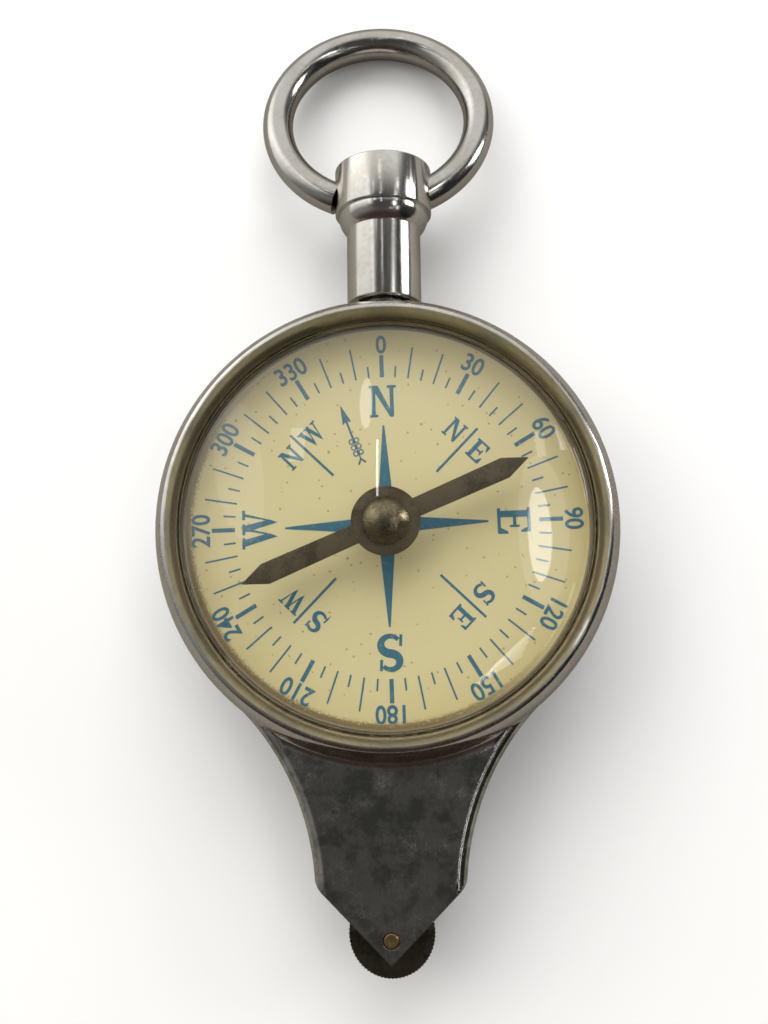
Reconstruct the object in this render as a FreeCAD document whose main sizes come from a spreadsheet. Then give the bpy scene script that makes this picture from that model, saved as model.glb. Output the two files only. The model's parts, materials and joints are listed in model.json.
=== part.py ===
import FreeCAD, Part
import math
import os
import Sketcher

# Map measurer with a compass face in front and a measuring dial behind, in millimetres.
# +Z points out of the compass face, +Y towards the suspension ring, +X to its right.
# The origin is on the dial axis, in the plane of the rear rim that the case lies on.
# Every piece is drawn about the joint plane of the two half cases and lifted by its Placement.

SIZES = {
    # half cases
    "case_radius": 22.0,
    "case_wall": 0.7,
    "wall_straight": 2.5,
    "rim_crest_inset": 1.25,
    "rim_inner_inset": 1.52,
    "rim_height": 2.0,
    "window_inset": 1.9,
    "inner_clearance": 0.2,
    "flank_radius": 24.0,
    "waist_half_width": 6.87,
    "tail_length": 17.7,
    "corner_start_rise": 7.7,
    "corner_lead": 0.05,
    "corner_end_rise": 6.34,
    "corner_radius": 2.2,
    "tail_half_thickness": 3.1,
    "tail_wall": 0.7,
    "tail_edge_round": 1.15,
    "cove_radius": 0.9,
    "cove_rise": 0.95,
    "fork_ledge": 0.1,
    "hollow_start_inset": 5.5,
    "cut_margin": 1.0,
    "overcut": 0.1,
    # stack between the glasses
    "plate_gap": 2.2,
    "plate_thickness": 0.4,
    "dial_plate_thickness": 0.4,
    "card_thickness": 0.15,
    "retainer_height": 0.95,
    "retainer_width": 1.7,
    "retainer_step": 0.22,
    "glass_edge": 0.7,
    "glass_thickness": 0.8,
    "glass_ledge": 1.2,
    "dome_knee_reach": 1.3,
    "dome_inner_knee_reach": 1.1,
    "dome_knee_rise": 1.4,
    "dome_inner_knee_rise": 1.5,
    "dome_knee_round": 2.3,
    "dome_inner_knee_round": 1.6,
    "dome_rise": 3.7,
    # compass
    "pivot_foot_radius": 1.6,
    "pivot_foot_height": 0.25,
    "pivot_foot_taper": 0.2,
    "pivot_radius": 0.45,
    "pivot_cone_start": 4.6,
    "pivot_tip_height": 5.35,
    "pivot_tip_radius": 0.06,
    "needle_half_length": 14.55,
    "needle_point_length": 2.4,
    "needle_root_half_width": 0.87,
    "needle_end_half_width": 1.0,
    "needle_hub_radius": 3.25,
    "needle_height": 4.65,
    "needle_thickness": 0.3,
    "needle_rest_angle": 23.2,
    "cap_foot_height": 4.15,
    "cap_foot_radius": 1.5,
    "cap_body_radius": 1.2,
    "cap_dome_radius": 2.2,
    "cap_dome_rise": 0.95,
    "cap_rim": 0.25,
    "cap_cone_mouth": 0.75,
    "cap_cone_top": 0.12,
    "cap_cone_height": 5.43,
    # measuring side
    "hand_length": 15.6,
    "hand_tail": 5.0,
    "hand_root_half_width": 0.65,
    "hand_tip_half_width": 0.16,
    "hand_tail_half_width": 0.85,
    "hand_boss_radius": 1.7,
    "hand_gap": 0.25,
    "hand_thickness": 0.25,
    "hand_boss_height": 0.15,
    # gear train
    "wheel_axis_rise": 2.15,
    "fine_module": 0.25,
    "first_module": 0.35,
    "second_module": 0.4,
    "tracing_pinion_teeth": 10,
    "first_wheel_teeth": 40,
    "first_pinion_teeth": 12,
    "second_wheel_teeth": 30,
    "second_pinion_teeth": 14,
    "third_wheel_teeth": 28,
    "third_pinion_teeth": 21,
    "centre_wheel_teeth": 42,
    "pressure_angle": 27.0,
    "tooth_backlash": 0.08,
    "addendum_ratio": 0.9,
    "dedendum_ratio": 1.15,
    "shortest_side_ratio": 0.1,
    "gear_thickness": 0.4,
    "pinion_thickness": 0.55,
    "gear_shoulder": 0.1,
    "arbor_radius": 0.5,
    "arbor_pivot_radius": 0.3,
    "pivot_clearance": 0.04,
    "centre_arbor_radius": 0.75,
    "centre_front_pivot_radius": 0.4,
    "arbor_window_clearance": 0.25,
    # tracing wheel
    "tracing_radius": 3.98,
    "tracing_half_thickness": 0.45,
    "tracing_rim_half_thickness": 0.3,
    "tracing_bevel_width": 0.7,
    "milling_teeth": 72,
    "milling_depth": 0.1,
    "milling_allowance": 0.01,
    "tracing_hub_radius": 1.5,
    "pinion_sleeve_radius": 0.93,
    "end_shake": 0.1,
    "wheel_pin_radius": 0.675,
    "wheel_pin_clearance": 0.05,
    "pin_hole_clearance": 0.12,
    "pin_seat_depth": 0.35,
    # movement frame
    "plate_margin": 1.7,
    "tongue_root_inset": 3.0,
    "tongue_middle_half_width": 6.5,
    "tongue_middle_reach": 4.0,
    "tongue_end_half_width": 5.5,
    "tongue_end_gap": 4.35,
    "pillar_inset": 3.2,
    "pillar_angle": 38.0,
    "pillar_radius": 1.1,
    "plate_rivet_radius": 0.5,
    # neck and ring
    "neck_radius": 3.73,
    "neck_gap": 0.6,
    "neck_length": 7.7,
    "ogee_height": 1.83,
    "neck_recess_radius": 3.1,
    "neck_recess_depth": 0.5,
    "knob_radius": 4.9,
    "knob_length": 5.1,
    "knob_step": 0.35,
    "knob_lip": 0.15,
    "knob_crown": 0.35,
    "knob_edge_round": 0.3,
    "ogee_radius": 2.2,
    "collar_radius": 2.6,
    "neck_screw_radius": 1.0,
    "neck_screw_reach": 3.6,
    "neck_screw_head_radius": 1.4,
    "screw_clearance": 0.1,
    "neck_screw_head_height": 0.75,
    "ring_radius": 10.63,
    "ring_wire_radius": 1.58,
    "ring_axis_height": 2.37,
    "ring_side_clearance": 0.06,
    "ring_stub_radius": 1.0,
    "ring_stub_length": 1.8,
    "ring_stub_root": 0.8,
    "ring_stub_clearance": 0.05,
    "ring_bore_end_gap": 0.15,
}

# heights above the joint plane, as expressions of the sheet
PLATE_IN = "(sizes.plate_gap / 2)"
PLATE_OUT = f"({PLATE_IN} + sizes.plate_thickness)"
CARD_BACK = f"({PLATE_OUT} + sizes.dial_plate_thickness)"
CARD_FACE = f"({CARD_BACK} + sizes.card_thickness)"
GLASS_IN = f"({CARD_FACE} + sizes.retainer_height)"
GLASS_OUT = f"({GLASS_IN} + sizes.glass_edge)"
RIM_TOP = f"({GLASS_OUT} + sizes.rim_height)"
CAVITY = "(sizes.tail_half_thickness - sizes.tail_wall)"

# radii about the dial axis and distances along the instrument, from the size of the case
RIM_CREST = "(sizes.case_radius - sizes.rim_crest_inset)"
RIM_INNER = "(sizes.case_radius - sizes.rim_inner_inset)"
WINDOW = "(sizes.case_radius - sizes.window_inset)"
INNER_WALL = "(sizes.case_radius - sizes.case_wall)"
DISC_EDGE = f"({INNER_WALL} - sizes.inner_clearance)"
RETAINER_BORE = f"({DISC_EDGE} - sizes.retainer_width)"
PLATE_EDGE = f"({DISC_EDGE} - sizes.plate_margin)"
TIP = "(sizes.case_radius + sizes.tail_length)"
CORNER_START = f"({TIP} - sizes.corner_start_rise)"
CORNER_END = f"({TIP} - sizes.corner_end_rise)"
WHEEL_AXIS = f"({TIP} - sizes.wheel_axis_rise)"
NECK_START = "(sizes.case_radius + sizes.neck_gap)"
NECK_END = f"({NECK_START} + sizes.neck_length)"
KNOB_START = f"({NECK_END} + sizes.ogee_height)"
KNOB_END = f"({KNOB_START} + sizes.knob_length)"
RING_AXIS = f"({KNOB_START} + sizes.ring_axis_height)"

# centres of the gear train, from the wheel axis in the fork to the dial axis
FIRST_DISTANCE = "((sizes.tracing_pinion_teeth + sizes.first_wheel_teeth) * sizes.fine_module / 2)"
SECOND_DISTANCE = "((sizes.first_pinion_teeth + sizes.second_wheel_teeth) * sizes.first_module / 2)"
THIRD_DISTANCE = "((sizes.second_pinion_teeth + sizes.third_wheel_teeth) * sizes.second_module / 2)"
FIRST_AXIS = f"({WHEEL_AXIS} - {FIRST_DISTANCE})"
SECOND_AXIS = f"({FIRST_AXIS} - {SECOND_DISTANCE})"
THIRD_AXIS = f"({SECOND_AXIS} - {THIRD_DISTANCE})"
# the last pair is as large as it must be to close the train
LAST_MODULE = f"(2 * {THIRD_AXIS} / (sizes.third_pinion_teeth + sizes.centre_wheel_teeth))"

RING_OFFSET = (
    "(sqrt(sizes.ring_radius^2 - (sizes.knob_radius + sizes.ring_side_clearance)^2))"
)

doc = FreeCAD.newDocument("map_measurer")
sheet = doc.addObject("Spreadsheet::Sheet", "sizes")
for row, (alias, size) in enumerate(SIZES.items(), start=1):
    sheet.set(f"A{row}", alias.replace("_", " "))
    sheet.set(f"B{row}", str(size))
    sheet.setAlias(f"B{row}", alias)
doc.recompute()

pieces = []

# lengths nearer than this are the same, and shorter edges than this belong to corners
NEAR = 1e-4
LONG_EDGE = 3.0


def value(expression):
    """The number that an expression of the sheet gives."""
    return float(sheet.evalExpression(str(expression)))


def bind(thing, prop, expression):
    """Tie a property of a piece to an expression of the sheet."""
    thing.setExpression(prop, str(expression))


def lift(thing, x="0", y="0"):
    """Put a finished piece at its place, with the joint plane at the height of the rim."""
    bind(thing, "Placement.Base.x", x)
    bind(thing, "Placement.Base.y", y)
    bind(thing, "Placement.Base.z", RIM_TOP)


def finish(thing, name):
    """Give a piece its name and keep it for the export."""
    thing.Label = name
    pieces.append(thing)
    return thing


def new_body(name):
    body = doc.addObject("PartDesign::Body", f"{name}_body")
    return finish(body, name)


def new_sketch(body, name, plane, offset=None):
    """A sketch on one of the body's own planes, moved along its normal where an offset is given."""
    sketch = body.newObject("Sketcher::SketchObject", name)
    base = next(f for f in body.Origin.OriginFeatures if f.Role == plane)
    sketch.AttachmentSupport = [(base, "")]
    sketch.MapMode = "FlatFace"
    if offset is not None:
        bind(sketch, "AttachmentOffset.Base.z", offset)
    return sketch


def pin_point(sketch, geometry, vertex, x, y):
    """Fix a vertex of a sketch by its two distances from the origin."""
    for kind, axis, expression in (("DistanceX", -2, x), ("DistanceY", -1, y)):
        size = value(expression)
        if str(expression) == "0":
            sketch.addConstraint(Sketcher.Constraint("PointOnObject", geometry, vertex, axis))
            continue
        index = sketch.addConstraint(
            Sketcher.Constraint(kind, -1, 1, geometry, vertex, size)
        )
        sketch.setExpression(f"Constraints[{index}]", str(expression))


def outline(sketch, points):
    """A closed outline. A point is (x, y), or (x, y, radius, side) where an arc leads to the next one.

    Side 1 bulges to the right of the way from the point to the next, side -1 to the left.
    """
    places = [FreeCAD.Vector(value(p[0]), value(p[1]), 0) for p in points]
    starts = []
    ends = []
    for index, point in enumerate(points):
        here = places[index]
        there = places[(index + 1) % len(places)]
        if len(point) == 2:
            geometry = sketch.addGeometry(Part.LineSegment(here, there), False)
            starts.append((geometry, 1))
            ends.append((geometry, 2))
            continue
        radius = value(point[2])
        chord = there - here
        half = chord.Length / 2
        right = FreeCAD.Vector(chord.y, -chord.x, 0).normalize()
        sagitta = radius - math.sqrt(radius * radius - half * half)
        middle = (here + there) * 0.5 + right * (sagitta * point[3])
        geometry = sketch.addGeometry(Part.Arc(here, middle, there), False)
        forward = (sketch.getPoint(geometry, 1) - here).Length < NEAR
        starts.append((geometry, 1 if forward else 2))
        ends.append((geometry, 2 if forward else 1))
        index_radius = sketch.addConstraint(Sketcher.Constraint("Radius", geometry, radius))
        sketch.setExpression(f"Constraints[{index_radius}]", str(point[2]))
    for index, end in enumerate(ends):
        start = starts[(index + 1) % len(starts)]
        sketch.addConstraint(Sketcher.Constraint("Coincident", *end, *start))
    for index, point in enumerate(points):
        pin_point(sketch, *starts[index], point[0], point[1])


def circle(sketch, x, y, radius):
    """A circle in a sketch, fixed by its centre and radius."""
    centre = FreeCAD.Vector(value(x), value(y), 0)
    geometry = sketch.addGeometry(
        Part.Circle(centre, FreeCAD.Vector(0, 0, 1), value(radius)), False
    )
    pin_point(sketch, geometry, 3, x, y)
    index = sketch.addConstraint(Sketcher.Constraint("Radius", geometry, value(radius)))
    sketch.setExpression(f"Constraints[{index}]", str(radius))
    return geometry


def revolve(body, name, plane, points, groove=False):
    """Turn a closed outline about the upright axis of its plane."""
    sketch = new_sketch(body, f"{name}_outline", plane)
    outline(sketch, points)
    kind = "PartDesign::Groove" if groove else "PartDesign::Revolution"
    turned = body.newObject(kind, name)
    turned.Profile = sketch
    turned.ReferenceAxis = (sketch, ["V_Axis"])
    turned.Angle = 360
    doc.recompute()
    return turned


def pad(body, sketch, name, length, reverse=False):
    feature = body.newObject("PartDesign::Pad", name)
    feature.Profile = sketch
    bind(feature, "Length", length)
    feature.Reversed = reverse
    doc.recompute()
    return feature


def pocket(body, sketch, name, length, reverse=False, through=False):
    """Cut a sketch into the body and make sure that it took material away."""
    before = body.Shape.Volume
    feature = body.newObject("PartDesign::Pocket", name)
    feature.Profile = sketch
    feature.Reversed = reverse
    if through:
        feature.Type = "ThroughAll"
        feature.Midplane = True
    else:
        bind(feature, "Length", length)
    doc.recompute()
    if body.Shape.Volume > before - NEAR:
        raise ValueError(f"{name} cuts nothing from {body.Label}")
    return feature


def fillet(body, name, base, chosen, radius):
    """Round the edges of a feature that the chosen test picks."""
    names = [f"Edge{i}" for i, edge in enumerate(base.Shape.Edges, start=1) if chosen(edge)]
    feature = body.newObject("PartDesign::Fillet", name)
    feature.Base = (base, names)
    bind(feature, "Radius", radius)
    doc.recompute()
    return feature


def chamfer(body, name, base, chosen, size):
    names = [f"Edge{i}" for i, edge in enumerate(base.Shape.Edges, start=1) if chosen(edge)]
    feature = body.newObject("PartDesign::Chamfer", name)
    feature.Base = (base, names)
    bind(feature, "Size", size)
    doc.recompute()
    return feature


def cylinder(name, radius, height, x="0", y="0", z="0"):
    """A plain cylinder along Z with its foot at the given place."""
    solid = doc.addObject("Part::Cylinder", name)
    bind(solid, "Radius", radius)
    bind(solid, "Height", height)
    bind(solid, "Placement.Base.x", x)
    bind(solid, "Placement.Base.y", y)
    bind(solid, "Placement.Base.z", z)
    return solid


def cut(name, base, tool):
    result = doc.addObject("Part::Cut", name)
    result.Base = base
    result.Tool = tool
    return result


def fuse(name, solids):
    result = doc.addObject("Part::MultiFuse", name)
    result.Shapes = solids
    return result


# Half cases

FLANK_X = "(sizes.waist_half_width + sizes.flank_radius)"
CENTRES = "(sizes.case_radius + sizes.flank_radius)"
FLANK_Y = f"(sqrt({CENTRES}^2 - {FLANK_X}^2))"
TANGENT_X = f"({FLANK_X} * sizes.case_radius / {CENTRES})"
TANGENT_Y = f"({FLANK_Y} * sizes.case_radius / {CENTRES})"


def flank_x(distance, inset="0"):
    """Half width of the tail at a distance from the dial axis, moved inwards by an inset."""
    return f"({FLANK_X} - sqrt((sizes.flank_radius + {inset})^2 - ({FLANK_Y} - {distance})^2))"


def tail_points():
    """The tail as pressed: two hollow flanks that leave the case as tangents and run down straight."""
    root = "((sizes.case_radius - sizes.case_wall / 2) / sizes.case_radius)"
    end = f"({TIP} + sizes.cut_margin)"
    waist = "sizes.waist_half_width"
    return [
        (f"{TANGENT_X} * {root}", f"-{TANGENT_Y} * {root}"),
        (TANGENT_X, f"-{TANGENT_Y}", "sizes.flank_radius", 1),
        (waist, f"-{FLANK_Y}"),
        (waist, f"-{end}"),
        (f"-{waist}", f"-{end}"),
        (f"-{waist}", f"-{FLANK_Y}", "sizes.flank_radius", 1),
        (f"-{TANGENT_X}", f"-{TANGENT_Y}"),
        (
            f"-{TANGENT_X} * {root}",
            f"-{TANGENT_Y} * {root}",
            "(sizes.case_radius - sizes.case_wall / 2)",
            1,
        ),
    ]


def fork_cut_points(inset):
    """What is sheared off the end of the tail: round corners and a V, moved inwards by an inset."""
    side = "(sizes.waist_half_width + 2 * sizes.cut_margin)"
    bottom = f"({TIP} + 2 * sizes.cut_margin)"
    start_x = f"({flank_x(CORNER_START)} + sizes.corner_lead - {inset})"
    end_x = f"({TIP} - {CORNER_END} - {inset} / sqrt(2))"
    end_y = f"({CORNER_END} - {inset} / sqrt(2))"
    tip = f"({TIP} - {inset} * sqrt(2))"
    return [
        (side, f"-{CORNER_START}"),
        (start_x, f"-{CORNER_START}", "sizes.corner_radius", -1),
        (end_x, f"-{end_y}"),
        ("0", f"-{tip}"),
        (f"-{end_x}", f"-{end_y}", "sizes.corner_radius", -1),
        (f"-{start_x}", f"-{CORNER_START}"),
        (f"-{side}", f"-{CORNER_START}"),
        (f"-{side}", f"-{bottom}"),
        (side, f"-{bottom}"),
    ]


def cavity_points():
    """The hollow of the tail, one wall inside the flanks and open through the V."""
    inset = "sizes.tail_wall"
    top = f"({INNER_WALL} - sizes.hollow_start_inset)"
    bottom = f"({TIP} + 2 * sizes.cut_margin)"
    start_x = flank_x(CORNER_START, inset)
    hollow_radius = f"(sizes.flank_radius + {inset})"
    return [
        (flank_x(top, inset), f"-{top}", hollow_radius, 1),
        (start_x, f"-{CORNER_START}"),
        (start_x, f"-{bottom}"),
        (f"-{start_x}", f"-{bottom}"),
        (f"-{start_x}", f"-{CORNER_START}", hollow_radius, 1),
        (f"-{flank_x(top, inset)}", f"-{top}"),
    ]


WALL_DROP = "sizes.rim_crest_inset"
WALL_RISE = f"({RIM_TOP} - sizes.wall_straight)"
SHOULDER = f"(({WALL_DROP}^2 + {WALL_RISE}^2) / (2 * {WALL_DROP}))"


def wall_radius(height):
    """Outer radius of the case wall at a height above the joint plane."""
    rise = f"({height} - sizes.wall_straight)"
    return f"(sizes.case_radius - {SHOULDER} + sqrt({SHOULDER}^2 - {rise}^2))"


def flank_edges(top, limit):
    """A test for the long top edges of the tail, outside the case wall."""

    def chosen(edge):
        box = edge.BoundBox
        middle = edge.valueAt((edge.FirstParameter + edge.LastParameter) / 2)
        flat = abs(box.ZMin - top) < NEAR and abs(box.ZMax - top) < NEAR
        outside = math.hypot(middle.x, middle.y) > limit
        return flat and outside and abs(middle.x) > 1 and edge.Length > LONG_EDGE

    return chosen


def make_cove(name):
    """The hollow sweep from the case wall down to the face of the tail, mitred along the flanks."""
    foot = "sizes.tail_half_thickness"
    high = f"({foot} + sizes.cove_rise)"
    high_radius = wall_radius(high)
    reach = f"({wall_radius(foot)} + sizes.cove_radius)"
    across = f"({reach} - {high_radius})"
    sweep = f"(({across}^2 + ({high} - {foot})^2) / (2 * ({high} - {foot})))"
    inner = f"({high_radius} - sizes.case_wall / 3)"
    ring_body = doc.addObject("PartDesign::Body", f"{name}_ring_body")
    revolve(
        ring_body,
        "cove_section",
        "XZ_Plane",
        [
            (inner, f"{foot} - sizes.overcut"),
            (reach, f"{foot} - sizes.overcut"),
            (reach, foot, sweep, -1),
            (high_radius, high),
            (inner, high),
        ],
    )
    limit_body = doc.addObject("PartDesign::Body", f"{name}_limit_body")
    limit = new_sketch(limit_body, "limit_outline", "XY_Plane")
    outline(limit, tail_points())
    limit_height = f"({high} + sizes.overcut)"
    block = pad(limit_body, limit, "limit", limit_height)
    chosen = flank_edges(value(limit_height), value("sizes.case_radius"))
    mitre = f"({limit_height} - {foot} + sizes.tail_edge_round)"
    chamfer(limit_body, "mitre", block, chosen, mitre)
    common = doc.addObject("Part::MultiCommon", f"{name}_cove")
    common.Shapes = [ring_body, limit_body]
    return common


def make_shell(name):
    """A pressed half case: rounded tail, cove, wall with a raised rim, window, fork and pin seat."""
    body = doc.addObject("PartDesign::Body", f"{name}_body")
    tail = new_sketch(body, "tail_outline", "XY_Plane")
    outline(tail, tail_points())
    tail_pad = pad(body, tail, "tail", "sizes.tail_half_thickness")
    chosen = flank_edges(value("sizes.tail_half_thickness"), value("sizes.case_radius"))
    fillet(body, "flank_rounding", tail_pad, chosen, "sizes.tail_edge_round")
    fork = new_sketch(body, "fork_outline", "XY_Plane")
    outline(fork, fork_cut_points("0"))
    pocket(body, fork, "fork_cut", "sizes.tail_half_thickness + sizes.overcut", reverse=True)
    ledge = new_sketch(body, "fork_ledge_outline", "XY_Plane", "sizes.tail_half_thickness")
    outline(ledge, fork_cut_points("sizes.fork_ledge"))
    pocket(body, ledge, "fork_ledge", "sizes.fork_ledge")
    revolve(
        body,
        "wall_and_rim",
        "XZ_Plane",
        [
            (INNER_WALL, "0"),
            ("sizes.case_radius", "0"),
            ("sizes.case_radius", "sizes.wall_straight", SHOULDER, 1),
            (RIM_CREST, RIM_TOP),
            (RIM_INNER, RIM_TOP),
            (WINDOW, GLASS_OUT),
            (INNER_WALL, GLASS_OUT),
        ],
    )
    hollow = new_sketch(body, "tail_hollow_outline", "XY_Plane")
    outline(hollow, cavity_points())
    pocket(body, hollow, "tail_hollow", CAVITY, reverse=True)
    hole = new_sketch(body, "pin_hole_outline", "XY_Plane")
    circle(hole, "0", f"-{WHEEL_AXIS}", "sizes.wheel_pin_radius")
    pocket(body, hole, "pin_hole", "sizes.tail_half_thickness + sizes.overcut", reverse=True)
    rebate = new_sketch(body, "pin_seat_outline", "XY_Plane", "sizes.tail_half_thickness")
    seat_radius = "sizes.wheel_pin_radius + sizes.pin_hole_clearance"
    circle(rebate, "0", f"-{WHEEL_AXIS}", seat_radius)
    pocket(body, rebate, "pin_seat", "sizes.pin_seat_depth")
    notch = new_sketch(body, "screw_notch_outline", "XZ_Plane", f"-({INNER_WALL} - sizes.cut_margin)")
    circle(notch, "0", "0", "sizes.neck_screw_radius + sizes.screw_clearance")
    pocket(body, notch, "screw_notch", "sizes.case_wall + 2 * sizes.cut_margin")
    shell = fuse(f"{name}_piece", [body, make_cove(name)])
    lift(shell)
    return finish(shell, name)


front_shell = make_shell("front_shell")
rear_shell = make_shell("rear_shell")
rear_shell.Placement.Rotation = FreeCAD.Rotation(FreeCAD.Vector(0, 1, 0), 180)


# Glasses, retaining rings, dial plates and cards

glass = new_body("front_glass")
apex = f"({GLASS_OUT} + sizes.dome_rise)"
knee_height = f"({GLASS_OUT} + sizes.dome_knee_rise)"
inner_apex = f"({apex} - sizes.glass_thickness)"
inner_knee_height = f"({GLASS_IN} + sizes.dome_inner_knee_rise)"
dome_foot = f"({DISC_EDGE} - sizes.glass_ledge)"
dome_knee = f"({dome_foot} - sizes.dome_knee_reach)"
inner_foot = f"({dome_foot} - sizes.glass_thickness)"
inner_knee = f"({inner_foot} - sizes.dome_inner_knee_reach)"


def crown_radius(half_width, rise):
    """Radius of the arc that crowns a width by a rise."""
    return f"(({half_width}^2 + {rise}^2) / (2 * {rise}))"


dome_outer = crown_radius(dome_knee, f"({apex} - {knee_height})")
dome_inner = crown_radius(inner_knee, f"({inner_apex} - {inner_knee_height})")
revolve(
    glass,
    "dome",
    "XZ_Plane",
    [
        ("0", inner_apex),
        ("0", apex, dome_outer, -1),
        (dome_knee, knee_height, "sizes.dome_knee_round", -1),
        (dome_foot, GLASS_OUT),
        (DISC_EDGE, GLASS_OUT),
        (DISC_EDGE, GLASS_IN),
        (inner_foot, GLASS_IN, "sizes.dome_inner_knee_round", 1),
        (inner_knee, inner_knee_height, dome_inner, 1),
    ],
)
lift(glass)


def turned_disc(name, radius, low, high, bore=None):
    """A flat disc or washer about the dial axis, between two heights."""
    body = new_body(name)
    inner = "0" if bore is None else bore
    revolve(
        body,
        "disc",
        "XZ_Plane",
        [(inner, low), (radius, low), (radius, high), (inner, high)],
    )
    lift(body)
    return body


rear_glass = turned_disc("rear_glass", DISC_EDGE, f"-{GLASS_OUT}", f"-{GLASS_IN}")


RETAINER_STEPS = 4


def make_retainer(name):
    """A stepped brass ring that fills the space between the card and the glass."""
    body = new_body(name)
    step = "sizes.retainer_step"
    tread = f"(sizes.retainer_height / {RETAINER_STEPS})"
    points = [(DISC_EDGE, CARD_FACE), (DISC_EDGE, GLASS_IN)]
    for index in range(RETAINER_STEPS):
        radius = f"({RETAINER_BORE} + {RETAINER_STEPS - 1 - index} * {step})"
        points.append((radius, f"{GLASS_IN} - {index} * {tread}"))
        points.append((radius, f"{GLASS_IN} - {index + 1} * {tread}"))
    revolve(body, "steps", "XZ_Plane", points)
    lift(body)
    return body


make_retainer("front_retainer")
rear_retainer = make_retainer("rear_retainer")
rear_retainer.Placement.Rotation = FreeCAD.Rotation(FreeCAD.Vector(0, 1, 0), 180)

turned_disc("compass_dial_plate", DISC_EDGE, PLATE_OUT, CARD_BACK, "sizes.pivot_radius")
turned_disc("compass_card", DISC_EDGE, CARD_BACK, CARD_FACE, "sizes.pivot_radius")
arbor_window = "(sizes.centre_arbor_radius + sizes.arbor_window_clearance)"
turned_disc("measuring_dial_plate", DISC_EDGE, f"-{CARD_BACK}", f"-{PLATE_OUT}", arbor_window)
turned_disc("measuring_card", DISC_EDGE, f"-{CARD_FACE}", f"-{CARD_BACK}", arbor_window)


# Compass pivot, needle and cap

pivot = new_body("compass_pivot")
foot_top = f"({CARD_FACE} + sizes.pivot_foot_height)"
revolve(
    pivot,
    "pin",
    "XZ_Plane",
    [
        ("0", PLATE_OUT),
        ("sizes.pivot_radius", PLATE_OUT),
        ("sizes.pivot_radius", CARD_FACE),
        ("sizes.pivot_foot_radius", CARD_FACE),
        ("sizes.pivot_foot_radius", foot_top),
        ("sizes.pivot_radius", f"{foot_top} + sizes.pivot_foot_taper"),
        ("sizes.pivot_radius", "sizes.pivot_cone_start"),
        ("sizes.pivot_tip_radius", "sizes.pivot_tip_height"),
        ("0", "sizes.pivot_tip_height"),
    ],
)
lift(pivot)

needle = new_body("compass_needle")
bar = new_sketch(needle, "bar_outline", "XY_Plane", "sizes.needle_height")
shoulder_x = "(sizes.needle_half_length - sizes.needle_point_length)"
outline(
    bar,
    [
        ("sizes.needle_half_length", "0"),
        (shoulder_x, "sizes.needle_end_half_width"),
        ("0", "sizes.needle_root_half_width"),
        (f"-{shoulder_x}", "sizes.needle_end_half_width"),
        ("-sizes.needle_half_length", "0"),
        (f"-{shoulder_x}", "-sizes.needle_end_half_width"),
        ("0", "-sizes.needle_root_half_width"),
        (shoulder_x, "-sizes.needle_end_half_width"),
    ],
)
pad(needle, bar, "bar", "sizes.needle_thickness")
hub = new_sketch(needle, "hub_outline", "XY_Plane", "sizes.needle_height")
circle(hub, "0", "0", "sizes.needle_hub_radius")
pad(needle, hub, "hub", "sizes.needle_thickness")
eye = new_sketch(
    needle, "cap_hole_outline", "XY_Plane", "sizes.needle_height + sizes.needle_thickness"
)
circle(eye, "0", "0", "sizes.cap_body_radius")
pocket(needle, eye, "cap_hole", "sizes.needle_thickness + sizes.overcut")
lift(needle)
needle.Placement.Rotation = FreeCAD.Rotation(
    FreeCAD.Vector(0, 0, 1), value("sizes.needle_rest_angle")
)

cap = new_body("needle_cap")
needle_top = "(sizes.needle_height + sizes.needle_thickness)"
dome_edge = f"({needle_top} + sizes.cap_rim)"
dome_top = f"({dome_edge} + sizes.cap_dome_rise)"
cap_sphere = crown_radius("sizes.cap_dome_radius", "sizes.cap_dome_rise")
revolve(
    cap,
    "cap",
    "XZ_Plane",
    [
        ("0", dome_top, cap_sphere, -1),
        ("sizes.cap_dome_radius", dome_edge),
        ("sizes.cap_dome_radius", needle_top),
        ("sizes.cap_body_radius", needle_top),
        ("sizes.cap_body_radius", "sizes.needle_height"),
        ("sizes.cap_foot_radius", "sizes.needle_height"),
        ("sizes.cap_foot_radius", "sizes.cap_foot_height"),
        ("sizes.cap_cone_mouth", "sizes.cap_foot_height"),
        ("sizes.cap_cone_top", "sizes.cap_cone_height"),
        ("0", "sizes.cap_cone_height"),
    ],
)
lift(cap)


# Measuring hand

hand = new_body("measuring_hand")
hand_top = f"({CARD_FACE} + sizes.hand_gap)"
blade = new_sketch(hand, "blade_outline", "XY_Plane", f"-{hand_top}")
outline(
    blade,
    [
        ("sizes.hand_tip_half_width", "sizes.hand_length"),
        ("sizes.hand_root_half_width", "sizes.hand_boss_radius"),
        ("sizes.hand_root_half_width", "-sizes.hand_boss_radius"),
        ("sizes.hand_tail_half_width", "-sizes.hand_tail"),
        ("-sizes.hand_tail_half_width", "-sizes.hand_tail"),
        ("-sizes.hand_root_half_width", "-sizes.hand_boss_radius"),
        ("-sizes.hand_root_half_width", "sizes.hand_boss_radius"),
        ("-sizes.hand_tip_half_width", "sizes.hand_length"),
    ],
)
pad(hand, blade, "blade", "sizes.hand_thickness", reverse=True)
boss = new_sketch(hand, "boss_outline", "XY_Plane", f"-{hand_top}")
circle(boss, "0", "0", "sizes.hand_boss_radius")
pad(hand, boss, "boss", "sizes.hand_thickness + sizes.hand_boss_height", reverse=True)
hand_eye = new_sketch(hand, "arbor_hole_outline", "XY_Plane", f"-{hand_top}")
circle(hand_eye, "0", "0", "sizes.centre_arbor_radius")
pocket(hand, hand_eye, "arbor_hole", "sizes.hand_thickness + sizes.hand_boss_height + sizes.overcut")
lift(hand)


# Gear train

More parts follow.
